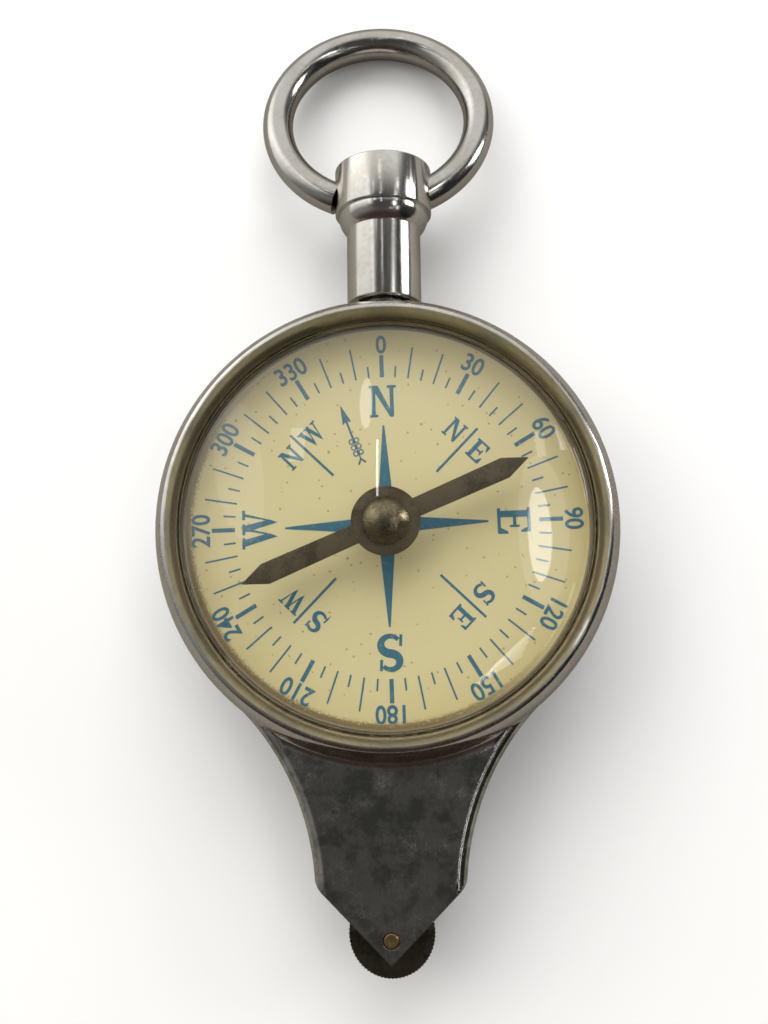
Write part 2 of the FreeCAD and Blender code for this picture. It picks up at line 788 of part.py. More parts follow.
def tooth_outline(teeth, module, turn, height):
    """Corner points of a toothed disc with involute flanks, first tooth at the given turn."""
    pitch = teeth * module / 2
    base = pitch * math.cos(math.radians(value("sizes.pressure_angle")))
    tip = pitch + value("sizes.addendum_ratio") * module
    root = pitch - value("sizes.dedendum_ratio") * module
    half_pitch_angle = (math.pi * module / 2 - value("sizes.tooth_backlash")) / (2 * pitch)

    def involute(radius):
        ratio = math.acos(min(1.0, base / radius))
        return math.tan(ratio) - ratio

    def half_angle(radius):
        return half_pitch_angle + involute(pitch) - involute(max(radius, base))

    radii = [root, max(root, base), pitch, (pitch + tip) / 2, tip]
    if radii[1] - radii[0] < value("sizes.shortest_side_ratio") * module:
        radii.pop(1)
    flank = [(radius, -half_angle(radius)) for radius in radii]
    flank += [(radius, half_angle(radius)) for radius in reversed(radii)]
    points = []
    for index in range(int(teeth)):
        middle = math.radians(turn) + 2 * math.pi * index / teeth
        for radius, angle in flank:
            x = radius * math.cos(middle + angle)
            y = radius * math.sin(middle + angle)
            points.append(FreeCAD.Vector(x, y, height))
    return points


def toothed_disc(name, teeth, module, thickness, bore, low, turn):
    """A flat gear: involute teeth round a plain disc with a bore, turned into mesh."""
    points = tooth_outline(value(teeth), value(module), turn, value(low))
    rim = Part.Wire(Part.makePolygon(points + points[:1]))
    height = value(thickness)
    blank = Part.Face(rim).extrude(FreeCAD.Vector(0, 0, height))
    bore_tool = Part.makeCylinder(value(bore), height, FreeCAD.Vector(0, 0, value(low)))
    gear = doc.addObject("Part::Feature", name)
    gear.Shape = blank.cut(bore_tool)
    return gear


def heading(start, end):
    """Direction in degrees from one axis of the train to another."""
    dx = value(end[0]) - value(start[0])
    dy = value(end[1]) - value(start[1])
    return math.degrees(math.atan2(dy, dx))


TRACING = ("0", f"-{WHEEL_AXIS}")
FIRST = ("0", f"-{FIRST_AXIS}")
SECOND = ("0", f"-{SECOND_AXIS}")
THIRD = ("0", f"-{THIRD_AXIS}")
CENTRE = ("0", "0")

# three levels between the plates, so that each wheel passes clear of the arbors next to it
UPPER = "(sizes.tracing_half_thickness + sizes.gear_shoulder)"
MIDDLE = "(-sizes.gear_thickness / 2)"
LOWER = "(-sizes.tracing_half_thickness - sizes.gear_thickness)"
PINION_UPPER = "sizes.tracing_half_thickness"
PINION_MIDDLE = "(-sizes.pinion_thickness / 2)"
PINION_LOWER = "(-sizes.tracing_half_thickness - sizes.pinion_thickness)"


def wheel_turn(teeth, direction):
    """Turn that centres a gap between two teeth on a direction."""
    return direction + 180 / value(teeth)


def make_wheel(name, teeth, module, low, at, driver, bore="sizes.arbor_radius"):
    turn = wheel_turn(teeth, heading(at, driver))
    gear = toothed_disc(name, teeth, module, "sizes.gear_thickness", bore, low, turn)
    lift(gear, *at)
    return finish(gear, name)


make_wheel("first_wheel", "sizes.first_wheel_teeth", "sizes.fine_module", UPPER, FIRST, TRACING)
make_wheel("second_wheel", "sizes.second_wheel_teeth", "sizes.first_module", LOWER, SECOND, FIRST)
make_wheel("third_wheel", "sizes.third_wheel_teeth", "sizes.second_module", MIDDLE, THIRD, SECOND)
make_wheel(
    "centre_wheel",
    "sizes.centre_wheel_teeth",
    LAST_MODULE,
    UPPER,
    CENTRE,
    THIRD,
    "sizes.centre_arbor_radius",
)


def make_arbor(name, teeth, module, pinion_low, at, follower):
    """An arbor with its leaf pinion, shoulders against the plates and a pivot at each end."""
    leaves = toothed_disc(
        f"{name}_leaves",
        teeth,
        module,
        "sizes.pinion_thickness",
        "sizes.arbor_radius",
        pinion_low,
        heading(at, follower),
    )
    staff = cylinder(
        f"{name}_staff",
        "sizes.arbor_radius",
        "sizes.plate_gap - 2 * sizes.gear_shoulder",
        z=f"-{PLATE_IN} + sizes.gear_shoulder",
    )
    pivots = cylinder(
        f"{name}_pivots",
        "sizes.arbor_pivot_radius",
        f"2 * {PLATE_OUT}",
        z=f"-{PLATE_OUT}",
    )
    arbor = fuse(f"{name}_piece", [leaves, staff, pivots])
    lift(arbor, *at)
    return finish(arbor, name)


FIRST_LEAVES = ("sizes.first_pinion_teeth", "sizes.first_module", PINION_LOWER)
SECOND_LEAVES = ("sizes.second_pinion_teeth", "sizes.second_module", PINION_MIDDLE)
THIRD_LEAVES = ("sizes.third_pinion_teeth", LAST_MODULE, PINION_UPPER)
make_arbor("first_arbor", *FIRST_LEAVES, FIRST, SECOND)
make_arbor("second_arbor", *SECOND_LEAVES, SECOND, THIRD)
make_arbor("third_arbor", *THIRD_LEAVES, THIRD, CENTRE)

centre_arbor = new_body("centre_arbor")
arbor_end = f"({hand_top} + sizes.hand_thickness + sizes.hand_boss_height)"
revolve(
    centre_arbor,
    "staff",
    "XZ_Plane",
    [
        ("0", f"-{arbor_end}"),
        ("sizes.centre_arbor_radius", f"-{arbor_end}"),
        ("sizes.centre_arbor_radius", f"{PLATE_IN} - sizes.gear_shoulder"),
        ("sizes.centre_front_pivot_radius", f"{PLATE_IN} - sizes.gear_shoulder"),
        ("sizes.centre_front_pivot_radius", PLATE_OUT),
        ("0", PLATE_OUT),
    ],
)
lift(centre_arbor)


# Tracing wheel, its pinion and its pin

wheel_bore = "(sizes.wheel_pin_radius + sizes.wheel_pin_clearance)"
hub_end = f"({CAVITY} - sizes.end_shake)"


def milled_rim():
    """The tracing disc before its bevels: a rim of fine saw-cut teeth."""
    count = int(value("sizes.milling_teeth"))
    outer = value("sizes.tracing_radius")
    inner = outer - value("sizes.milling_depth")
    points = []
    for index in range(2 * count):
        radius = outer if index % 2 == 0 else inner
        turn = math.pi * index / count
        points.append(FreeCAD.Vector(radius * math.cos(turn), radius * math.sin(turn), 0))
    face = Part.Face(Part.Wire(Part.makePolygon(points + points[:1])))
    half = value("sizes.tracing_half_thickness")
    solid = face.extrude(FreeCAD.Vector(0, 0, 2 * half))
    solid.translate(FreeCAD.Vector(0, 0, -half))
    rim = doc.addObject("Part::Feature", "milled_rim")
    rim.Shape = solid
    return rim


bevel_body = doc.addObject("PartDesign::Body", "tracing_section_body")
bevel_foot = "(sizes.tracing_radius - sizes.tracing_bevel_width)"
revolve(
    bevel_body,
    "section",
    "XZ_Plane",
    [
        (wheel_bore, f"-{hub_end}"),
        ("sizes.tracing_hub_radius", f"-{hub_end}"),
        ("sizes.tracing_hub_radius", "-sizes.tracing_half_thickness"),
        (bevel_foot, "-sizes.tracing_half_thickness"),
        ("sizes.tracing_radius + sizes.milling_allowance", "-sizes.tracing_rim_half_thickness"),
        ("sizes.tracing_radius + sizes.milling_allowance", "sizes.tracing_rim_half_thickness"),
        (bevel_foot, "sizes.tracing_half_thickness"),
        (wheel_bore, "sizes.tracing_half_thickness"),
    ],
)
hub_blank = cylinder(
    "tracing_hub_blank",
    "sizes.tracing_hub_radius",
    f"{hub_end} + sizes.tracing_half_thickness",
    z=f"-{hub_end}",
)
blank = fuse("tracing_blank", [milled_rim(), hub_blank])
tracing_wheel = doc.addObject("Part::MultiCommon", "tracing_wheel_piece")
tracing_wheel.Shapes = [blank, bevel_body]
lift(tracing_wheel, *TRACING)
finish(tracing_wheel, "tracing_wheel")

leaves = toothed_disc(
    "tracing_leaves",
    "sizes.tracing_pinion_teeth",
    "sizes.fine_module",
    "sizes.pinion_thickness",
    wheel_bore,
    PINION_UPPER,
    heading(TRACING, FIRST),
)
sleeve_blank = cylinder(
    "pinion_sleeve_blank",
    "sizes.pinion_sleeve_radius",
    f"{hub_end} - sizes.tracing_half_thickness",
    z="sizes.tracing_half_thickness",
)
sleeve_bore = cylinder("pinion_sleeve_bore", wheel_bore, f"2 * {hub_end}")
sleeve = cut("pinion_sleeve", sleeve_blank, sleeve_bore)
tracing_pinion = fuse("tracing_pinion_piece", [leaves, sleeve])
lift(tracing_pinion, *TRACING)
finish(tracing_pinion, "tracing_pinion")

wheel_pin = cylinder(
    "wheel_pin_piece",
    "sizes.wheel_pin_radius",
    "2 * sizes.tail_half_thickness",
    y=TRACING[1],
    z=f"{RIM_TOP} - sizes.tail_half_thickness",
)
finish(wheel_pin, "wheel_pin")


# Movement plates, pillars and rivets

def plate_outline():
    """A round plate with a tongue that reaches down into the tail."""
    root_y = f"({PLATE_EDGE} - sizes.tongue_root_inset)"
    root_x = f"(sqrt({PLATE_EDGE}^2 - {root_y}^2))"
    middle_y = "(sizes.case_radius + sizes.tongue_middle_reach)"
    end_y = f"({WHEEL_AXIS} - sizes.tongue_end_gap)"
    return [
        (root_x, f"-{root_y}"),
        ("sizes.tongue_middle_half_width", f"-{middle_y}"),
        ("sizes.tongue_end_half_width", f"-{end_y}"),
        ("-sizes.tongue_end_half_width", f"-{end_y}"),
        ("-sizes.tongue_middle_half_width", f"-{middle_y}"),
        (f"-{root_x}", f"-{root_y}"),
    ]


def pillar_places():
    """The four pillar centres, two on each side of the dial axis."""
    reach = f"({PLATE_EDGE} - sizes.pillar_inset)"
    across = f"({reach} * cos(sizes.pillar_angle))"
    along = f"({reach} * sin(sizes.pillar_angle))"
    return [(f"{i} * {across}", f"{j} * {along}") for i in (1, -1) for j in (1, -1)]


def make_plate(name, low, centre_hole):
    body = new_body(name)
    sketch = new_sketch(body, "round_outline", "XY_Plane", low)
    circle(sketch, "0", "0", PLATE_EDGE)
    pad(body, sketch, "round", "sizes.plate_thickness")
    tongue = new_sketch(body, "tongue_outline", "XY_Plane", low)
    outline(tongue, plate_outline())
    pad(body, tongue, "tongue", "sizes.plate_thickness")
    holes = new_sketch(body, "pivot_holes_outline", "XY_Plane", f"{low} + sizes.plate_thickness")
    circle(holes, "0", "0", centre_hole)
    for place in (FIRST, SECOND, THIRD):
        circle(holes, *place, "sizes.arbor_pivot_radius + sizes.pivot_clearance")
    for place in pillar_places():
        circle(holes, *place, "sizes.plate_rivet_radius")
    pocket(body, holes, "pivot_holes", "sizes.plate_thickness + sizes.overcut")
    lift(body)
    return body


make_plate("front_plate", PLATE_IN, "sizes.centre_front_pivot_radius + sizes.pivot_clearance")
make_plate("rear_plate", f"-{PLATE_OUT}", "sizes.centre_arbor_radius + sizes.pivot_clearance")


def make_group(name, maker):
    """Four alike solids, one at each pillar, kept as one named piece."""
    group = doc.addObject("Part::Compound", f"{name}_group")
    group.Links = [maker(index, place) for index, place in enumerate(pillar_places())]
    bind(group, "Placement.Base.z", RIM_TOP)
    return finish(group, name)


def one_pillar(index, place):
    body_part = cylinder(
        f"pillar_{index}", "sizes.pillar_radius", "sizes.plate_gap", *place, f"-{PLATE_IN}"
    )
    bore = cylinder(
        f"pillar_bore_{index}",
        "sizes.plate_rivet_radius",
        "sizes.plate_gap",
        *place,
        f"-{PLATE_IN}",
    )
    return cut(f"pillar_piece_{index}", body_part, bore)


def one_rivet(index, place):
    """A stud that joins both plates through a pillar, riveted flush at each end."""
    return cylinder(
        f"plate_rivet_{index}",
        "sizes.plate_rivet_radius",
        f"2 * {PLATE_OUT}",
        *place,
        f"-{PLATE_OUT}",
    )


make_group("plate_pillars", one_pillar)
make_group("plate_rivets", one_rivet)


# Neck with its knob, screw, collar and suspension ring

neck = new_body("neck")
recess_floor = f"({NECK_START} + sizes.neck_recess_depth)"
crown = "sizes.knob_crown"
screw_end = f"({NECK_START} + sizes.neck_screw_reach)"
knob_sphere = crown_radius("sizes.knob_radius", crown)
neck_turned = revolve(
    neck,
    "turned_form",
    "XY_Plane",
    [
        ("sizes.neck_screw_radius", recess_floor),
        ("sizes.neck_recess_radius", recess_floor),
        ("sizes.neck_recess_radius", NECK_START),
        ("sizes.neck_radius", NECK_START),
        ("sizes.neck_radius", NECK_END, "sizes.ogee_radius", 1),
        ("sizes.knob_radius - sizes.knob_step", f"{KNOB_START} - sizes.knob_lip"),
        ("sizes.knob_radius - sizes.knob_step", KNOB_START),
        ("sizes.knob_radius", KNOB_START),
        ("sizes.knob_radius", f"{KNOB_END} - {crown}", knob_sphere, 1),
        ("0", KNOB_END),
        ("0", screw_end),
        ("sizes.neck_screw_radius", screw_end),
    ],
)
crest_y = value(f"{KNOB_END} - {crown}")


def knob_crest(edge):
    box = edge.BoundBox
    return abs(box.YMin - crest_y) < NEAR and abs(box.YMax - crest_y) < NEAR


fillet(neck, "knob_rounding", neck_turned, knob_crest, "sizes.knob_edge_round")
stub_bore = new_sketch(neck, "ring_bore_outline", "YZ_Plane", "sizes.knob_radius")
circle(
    stub_bore,
    RING_AXIS,
    "0",
    "sizes.ring_stub_radius + sizes.ring_stub_clearance",
)
bore_feature = pocket(
    neck,
    stub_bore,
    "ring_bore",
    "sizes.ring_stub_length - sizes.ring_side_clearance + sizes.ring_bore_end_gap",
)
both_bores = neck.newObject("PartDesign::Mirrored", "ring_bores")
both_bores.Originals = [bore_feature]
both_bores.MirrorPlane = (
    next(f for f in neck.Origin.OriginFeatures if f.Role == "YZ_Plane"),
    [""],
)
neck.Tip = both_bores
lift(neck)

collar = new_body("neck_collar")
revolve(
    collar,
    "washer",
    "XY_Plane",
    [
        ("sizes.neck_screw_radius", "sizes.case_radius"),
        ("sizes.collar_radius", "sizes.case_radius"),
        ("sizes.collar_radius", recess_floor),
        ("sizes.neck_screw_radius", recess_floor),
    ],
)
lift(collar)

screw = new_body("neck_screw")
head_top = f"({INNER_WALL} - sizes.screw_clearance)"
revolve(
    screw,
    "screw",
    "XY_Plane",
    [
        ("0", f"{head_top} - sizes.neck_screw_head_height"),
        ("sizes.neck_screw_head_radius", f"{head_top} - sizes.neck_screw_head_height"),
        ("sizes.neck_screw_head_radius", head_top),
        ("sizes.neck_screw_radius", head_top),
        ("sizes.neck_screw_radius", screw_end),
        ("0", screw_end),
    ],
)
lift(screw)

hoop = doc.addObject("Part::Torus", "ring_hoop")
bind(hoop, "Radius1", "sizes.ring_radius")
bind(hoop, "Radius2", "sizes.ring_wire_radius")
bind(hoop, "Placement.Base.y", RING_OFFSET)
mouth_half = "(sizes.knob_radius + sizes.ring_side_clearance)"
mouth = doc.addObject("Part::Box", "ring_mouth")
bind(mouth, "Length", f"2 * {mouth_half}")
bind(mouth, "Width", "sizes.ring_radius")
bind(mouth, "Height", "4 * sizes.ring_wire_radius")
bind(mouth, "Placement.Base.x", f"-{mouth_half}")
bind(mouth, "Placement.Base.y", f"{RING_OFFSET} - sizes.ring_radius - 2 * sizes.ring_wire_radius")
bind(mouth, "Placement.Base.z", "-2 * sizes.ring_wire_radius")
open_hoop = cut("ring_open_hoop", hoop, mouth)


def ring_stub(name, side):
    """A round stub that turns in the knob, along X at the end of the wire."""
    stub = doc.addObject("Part::Cylinder", name)
    bind(stub, "Radius", "sizes.ring_stub_radius")
    bind(stub, "Height", "sizes.ring_stub_length + sizes.ring_stub_root")
    stub.Placement.Rotation = FreeCAD.Rotation(FreeCAD.Vector(0, 1, 0), 90 * side)
    bind(stub, "Placement.Base.x", f"{side} * ({mouth_half} - sizes.ring_stub_length)")
    return stub


ring = fuse(
    "suspension_ring_piece",
    [open_hoop, ring_stub("right_stub", 1), ring_stub("left_stub", -1)],
)
reach = value(f"{RING_OFFSET} + sizes.ring_radius")
fall = value(f"{RIM_TOP} - sizes.ring_wire_radius")
ring.Placement = FreeCAD.Placement(
    FreeCAD.Vector(0, value(RING_AXIS), value(RIM_TOP)),
    FreeCAD.Rotation(FreeCAD.Vector(1, 0, 0), -math.degrees(math.asin(fall / reach))),
)
finish(ring, "suspension_ring")

doc.recompute()


# Checks and export

failed = [
    thing.Name
    for thing in doc.Objects
    if "Invalid" in thing.State or "Error" in thing.State
]
for piece in pieces:
    if piece.Shape.isNull() or not piece.Shape.isValid() or not piece.Shape.Solids:
        failed.append(piece.Label)
if failed:
    raise ValueError(f"these pieces failed: {failed}")

os.makedirs("parts", exist_ok=True)
for piece in pieces:
    piece.Shape.exportStep(f"parts/{piece.Label}.step")
    print(piece.Label, len(piece.Shape.Solids), round(piece.Shape.Volume, 3))
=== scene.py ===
import json
import math

import bmesh
import bpy
from mathutils import Matrix, Vector


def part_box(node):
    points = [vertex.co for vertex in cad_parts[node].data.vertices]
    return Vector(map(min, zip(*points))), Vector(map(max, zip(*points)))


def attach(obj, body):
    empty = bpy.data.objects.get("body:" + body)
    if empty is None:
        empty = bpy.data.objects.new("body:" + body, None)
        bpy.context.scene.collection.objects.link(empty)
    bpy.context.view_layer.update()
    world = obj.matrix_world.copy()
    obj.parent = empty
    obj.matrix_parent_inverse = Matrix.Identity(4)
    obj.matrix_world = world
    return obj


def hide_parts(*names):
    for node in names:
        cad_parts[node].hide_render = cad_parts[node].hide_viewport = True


bl_info = {
    "name": "Compass Map Measurer",
    "version": (1, 0, 0),
    "blender": (4, 5, 0),
    "location": "3D View > Sidebar > Map Measurer",
    "description": "Builds the looks of a pocket map measurer with a compass face",
    "category": "Add Mesh",
}

MM = 0.001

# How much higher each printed stroke of a letter lies than the one before it, and how many
# heights there are.
OVERPRINT_STEP = 0.001 * MM
OVERPRINTS = 7

# Weight and width of the printed figures, as shares of the plain typeface.
FIGURE_WEIGHT = 0.02
FIGURE_NARROWING = 0.86

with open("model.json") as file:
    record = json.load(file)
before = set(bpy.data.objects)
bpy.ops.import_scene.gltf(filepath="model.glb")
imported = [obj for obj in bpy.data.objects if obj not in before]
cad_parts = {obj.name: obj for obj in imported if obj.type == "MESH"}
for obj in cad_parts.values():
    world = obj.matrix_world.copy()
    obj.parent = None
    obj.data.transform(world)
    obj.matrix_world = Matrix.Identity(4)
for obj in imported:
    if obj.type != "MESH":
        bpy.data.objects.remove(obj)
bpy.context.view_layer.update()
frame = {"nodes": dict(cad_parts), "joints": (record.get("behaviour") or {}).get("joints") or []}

# Places taken from the frame, in metres.
JOINT_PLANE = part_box("wheel_pin")[0].z / 2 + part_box("wheel_pin")[1].z / 2
CARD_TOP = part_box("compass_card")[1].z
REAR_CARD_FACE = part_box("measuring_card")[0].z
CRYSTAL_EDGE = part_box("front_glass")[1].x
CRYSTAL_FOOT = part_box("front_glass")[0].z
CRYSTAL_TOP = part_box("front_glass")[1].z
NECK_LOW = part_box("neck")[0].y
NECK_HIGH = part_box("neck")[1].y
KNOB_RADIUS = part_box("neck")[1].x
CAP_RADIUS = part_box("needle_cap")[1].x
CAP_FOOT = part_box("needle_cap")[0].z
CAP_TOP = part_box("needle_cap")[1].z
NEEDLE_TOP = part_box("compass_needle")[1].z
PIN_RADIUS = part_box("wheel_pin")[1].x
PIN_CENTRE = (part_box("wheel_pin")[0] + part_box("wheel_pin")[1]) / 2


def joint_place(name):
    """Where a joint of the frame turns, in metres."""
    return Vector(next(j for j in frame["joints"] if j["name"] == name)["pos_m"])


# Plain mesh work

def placed(name, data):
    """A new object in the scene that shows the given data."""
    piece = bpy.data.objects.new(name, data)
    bpy.context.scene.collection.objects.link(piece)
    return piece


def object_from(name, bm, material, smooth_angle=35.0):
    """Turn a bmesh into a finished object with smooth faces and sharp edges past an angle."""
    mesh = bpy.data.meshes.new(name)
    bm.to_mesh(mesh)
    bm.free()
    mesh.shade_smooth()
    mesh.set_sharp_from_angle(angle=math.radians(smooth_angle))
    mesh.materials.append(material)
    return placed(name, mesh)


def seat(piece, body, slot, *nodes):
    """Hang a finished piece on its CAD body and hide the nodes it stands for. The slot is not
    used.
    """
    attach(piece, body)
    if nodes:
        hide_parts(*nodes)


def bulge(start, end, radius, steps):
    """Points of the arc of a given radius from start to end, bulging to the left of the way."""
    a, b = Vector(start), Vector(end)
    chord = b - a
    half = chord.length / 2
    right = Vector((chord.y, -chord.x)).normalized()
    centre = (a + b) / 2 + right * math.sqrt(radius * radius - half * half)
    first = math.atan2(a.y - centre.y, a.x - centre.x)
    last = math.atan2(b.y - centre.y, b.x - centre.x)
    while last > first:
        last -= 2 * math.pi
    points = []
    for index in range(steps + 1):
        angle = first + (last - first) * index / steps
        points.append((centre.x + radius * math.cos(angle), centre.y + radius * math.sin(angle)))
    return points


def crown_radius(half, rise):
    """Radius of an arc from half its width and its rise."""
    return (half * half + rise * rise) / (2 * rise)


def eased(profile, size, steps=3):
    """Round the sharp corners of a closed profile by a small amount, except on the axis."""
    result = []
    count = len(profile)
    for index, corner in enumerate(profile):
        here = Vector(corner)
        before = Vector(profile[index - 1])
        after = Vector(profile[(index + 1) % count])
        turn = (here - before).angle(after - here, 0.0)
        if here.x < 1e-7 or turn < math.radians(20):
            result.append(tuple(here))
            continue
        reach = min(size, 0.4 * (here - before).length, 0.4 * (after - here).length)
        start = here + (before - here).normalized() * reach
        end = here + (after - here).normalized() * reach
        for step in range(steps + 1):
            t = step / steps
            point = start * (1 - t) ** 2 + here * 2 * t * (1 - t) + end * t * t
            result.append(tuple(point))
    return result


def baked_mesh(piece):
    """The mesh of a piece with its modifiers or its text applied."""
    bpy.context.view_layer.update()
    evaluated = piece.evaluated_get(bpy.context.evaluated_depsgraph_get())
    return bpy.data.meshes.new_from_object(evaluated)


def turned(name, profile, material, axis="Z", centre=(0.0, 0.0, 0.0), steps=192, smooth=35.0):
    """A closed solid of revolution, from (radius, height) points in order round its section."""
    bm = bmesh.new()
    rings = []
    for index in range(steps):
        angle = 2 * math.pi * index / steps
        ring = []
        for radius, height in profile:
            if axis == "Z":
                place = (radius * math.cos(angle), radius * math.sin(angle), height)
            else:
                place = (radius * math.cos(angle), height, radius * math.sin(angle))
            ring.append(bm.verts.new(Vector(place) + Vector(centre)))
        rings.append(ring)
    count = len(profile)
    for index, ring in enumerate(rings):
        following = rings[(index + 1) % steps]
        for corner in range(count):
            other = (corner + 1) % count
            if profile[corner][0] < 1e-7 and profile[other][0] < 1e-7:
                continue
            bm.faces.new((ring[corner], ring[other], following[other], following[corner]))
    bmesh.ops.remove_doubles(bm, verts=bm.verts, dist=1e-7)
    bmesh.ops.dissolve_degenerate(bm, edges=bm.edges, dist=1e-8)
    bmesh.ops.recalc_face_normals(bm, faces=bm.faces)
    return object_from(name, bm, material, smooth)


def merged_copy(name, node, material, smooth_angle, bevel=0.0, flat_angle=0.0):
    """A copy of a CAD node with its loose triangles joined and, where asked, its edges eased."""
    bm = bmesh.new()
    bm.from_mesh(frame["nodes"][node].data)
    bmesh.ops.remove_doubles(bm, verts=bm.verts, dist=1e-7)
    if flat_angle:
        limit = math.radians(flat_angle)
        bmesh.ops.dissolve_limit(bm, angle_limit=limit, verts=bm.verts, edges=bm.edges)
    if bevel:
        bm.normal_update()
        sharp = [e for e in bm.edges if len(e.link_faces) == 2 and e.calc_face_angle() > 0.6]
        bmesh.ops.bevel(
            bm,
            geom=sharp,
            offset=bevel,
            segments=2,
            profile=0.5,
            affect="EDGES",
            clamp_overlap=True,
        )
    return object_from(name, bm, material, smooth_angle)


def steadied(piece, beyond):
    """Let flat faces lead the shading of rounded edges, past a distance from the dial axis."""
    outer = piece.vertex_groups.new(name="outer")
    outer.add([v.index for v in piece.data.vertices if v.co.xy.length > beyond], 1.0, "REPLACE")
    modifier = piece.modifiers.new("steady", "WEIGHTED_NORMAL")
    modifier.vertex_group = outer.name
    modifier.mode = "FACE_AREA"
    modifier.weight = 80
    modifier.keep_sharp = True
    mesh = baked_mesh(piece)
    piece.modifiers.clear()
    piece.vertex_groups.clear()
    piece.data = mesh
    return piece


def slab(bm, outline, low, high):
    """Add a flat plate with the given outline, as (x, y) points, to a bmesh."""
    lower = [bm.verts.new((x, y, low)) for x, y in outline]
    upper = [bm.verts.new((x, y, high)) for x, y in outline]
    bm.faces.new(list(reversed(lower)))
    bm.faces.new(upper)
    for index in range(len(outline)):
        other = (index + 1) % len(outline)
        bm.faces.new((lower[index], lower[other], upper[other], upper[index]))


# Shader node helpers

VECTOR, FLOAT, COLOUR = "NodeSocketVector", "NodeSocketFloat", "NodeSocketColor"


class Shade:
    """Short calls for building a node tree."""

    def __init__(self, tree):
        self.tree = tree

    def node(self, kind, **settings):
        made = self.tree.nodes.new(kind)
        for key, setting in settings.items():
            setattr(made, key, setting)
        return made

    def link(self, source, target):
        self.tree.links.new(source, target)

    def feed(self, socket, source):
        """Give a socket a link or a plain value. A colour of three parts is opaque."""
        if isinstance(source, bpy.types.NodeSocket):
            self.link(source, socket)
        elif socket.type == "RGBA" and isinstance(source, tuple):
            socket.default_value = (*source[:3], 1.0)
        else:
            socket.default_value = source

    def maths(self, operation, first, second=0.0, clamp=False):
        feeds = {0: first, 1: second}
        made = self.make("ShaderNodeMath", feeds, operation=operation, use_clamp=clamp)
        return made.outputs[0]

    def plus(self, first, second, clamp=False):
        return self.maths("ADD", first, second, clamp)

    def minus(self, first, second):
        return self.maths("SUBTRACT", first, second)

    def times(self, first, second, clamp=False):
        return self.maths("MULTIPLY", first, second, clamp)

    def larger(self, first, second):
        return self.maths("MAXIMUM", first, second)

    def make(self, kind, feeds, **settings):
        """A node with its settings and what feeds its inputs, by name or number."""
        made = self.node(kind, **settings)
        for key, source in feeds.items():
            self.feed(made.inputs[key], source)
        return made

    def noise(self, vector, scale, detail=4.0, roughness=0.55):
        feeds = {"Vector": vector, "Scale": scale, "Detail": detail, "Roughness": roughness}
        return self.make("ShaderNodeTexNoise", feeds).outputs["Fac"]

    def cells(self, vector, scale):
        return self.make("ShaderNodeTexVoronoi", {"Vector": vector, "Scale": scale}).outputs

    def span(self, source, low, high, out_low=0.0, out_high=1.0):
        """Map a value from one range to another with a smooth step."""
        made = self.node("ShaderNodeMapRange", interpolation_type="SMOOTHSTEP")
        names = ("Value", "From Min", "From Max", "To Min", "To Max")
        for name, setting in zip(names, (source, low, high, out_low, out_high)):
            self.feed(made.inputs[name], setting)
        return made.outputs["Result"]

    def mix(self, share, first, second):
        feeds = {0: share, 6: first, 7: second}
        return self.make("ShaderNodeMix", feeds, data_type="RGBA").outputs[2]

    def group(self, tree, **values):
        made = self.node("ShaderNodeGroup", node_tree=tree)
        for key, setting in values.items():
            self.feed(made.inputs[key.replace("_", " ")], setting)
        return made


class Finish(Shade):
    """A material with its shader and the object coordinates, ready to build on."""

    def __init__(self, name):
        self.material = bpy.data.materials.new(name)
        self.material.use_nodes = True
        self.material.node_tree.nodes.clear()
        super().__init__(self.material.node_tree)
        self.shader = self.node("ShaderNodeBsdfPrincipled")
        self.target = self.make("ShaderNodeOutputMaterial", {"Surface": self.shader.outputs[0]})
        self.place = self.node("ShaderNodeTexCoord").outputs["Object"]

    def cover(self, **values):
        """Give the shader links or plain values by the names of its inputs."""
        for key, setting in values.items():
            self.feed(self.shader.inputs[key.replace("_", " ")], setting)

    def bump(self, height, strength, distance):
        """Drive the shader's normal with a height."""
        inputs = {"Strength": strength, "Distance": distance, "Height": height}
        bump = self.make("ShaderNodeBump", inputs)
        self.link(bump.outputs[0], self.shader.inputs["Normal"])

    def mask(self, tree, **values):
        return self.group(tree, Vector=self.place, **values).outputs["Mask"]

    def fade(self, tree, radii):
        """A mask that grows between two distances from the dial axis."""
        return self.mask(tree, Start=radii[0], End=radii[1])

    def tarnish(self, tree, scale, clean, dull):
        """Clouds of a dull colour over a clean one."""
        return self.group(tree, Vector=self.place, Scale=scale, Clean=clean, Dull=dull)


def group_tree(name, inputs, outputs):
    """An empty shader node group with named sockets, and its input and output nodes."""
    tree = bpy.data.node_groups.new(name, "ShaderNodeTree")
    for label, kind, default in inputs:
        socket = tree.interface.new_socket(label, in_out="INPUT", socket_type=kind)
        if default is not None:
            socket.default_value = default
    for label, kind in outputs:
        tree.interface.new_socket(label, in_out="OUTPUT", socket_type=kind)
    source = tree.nodes.new("NodeGroupInput")
    target = tree.nodes.new("NodeGroupOutput")
    return tree, Shade(tree), source.outputs, target.inputs


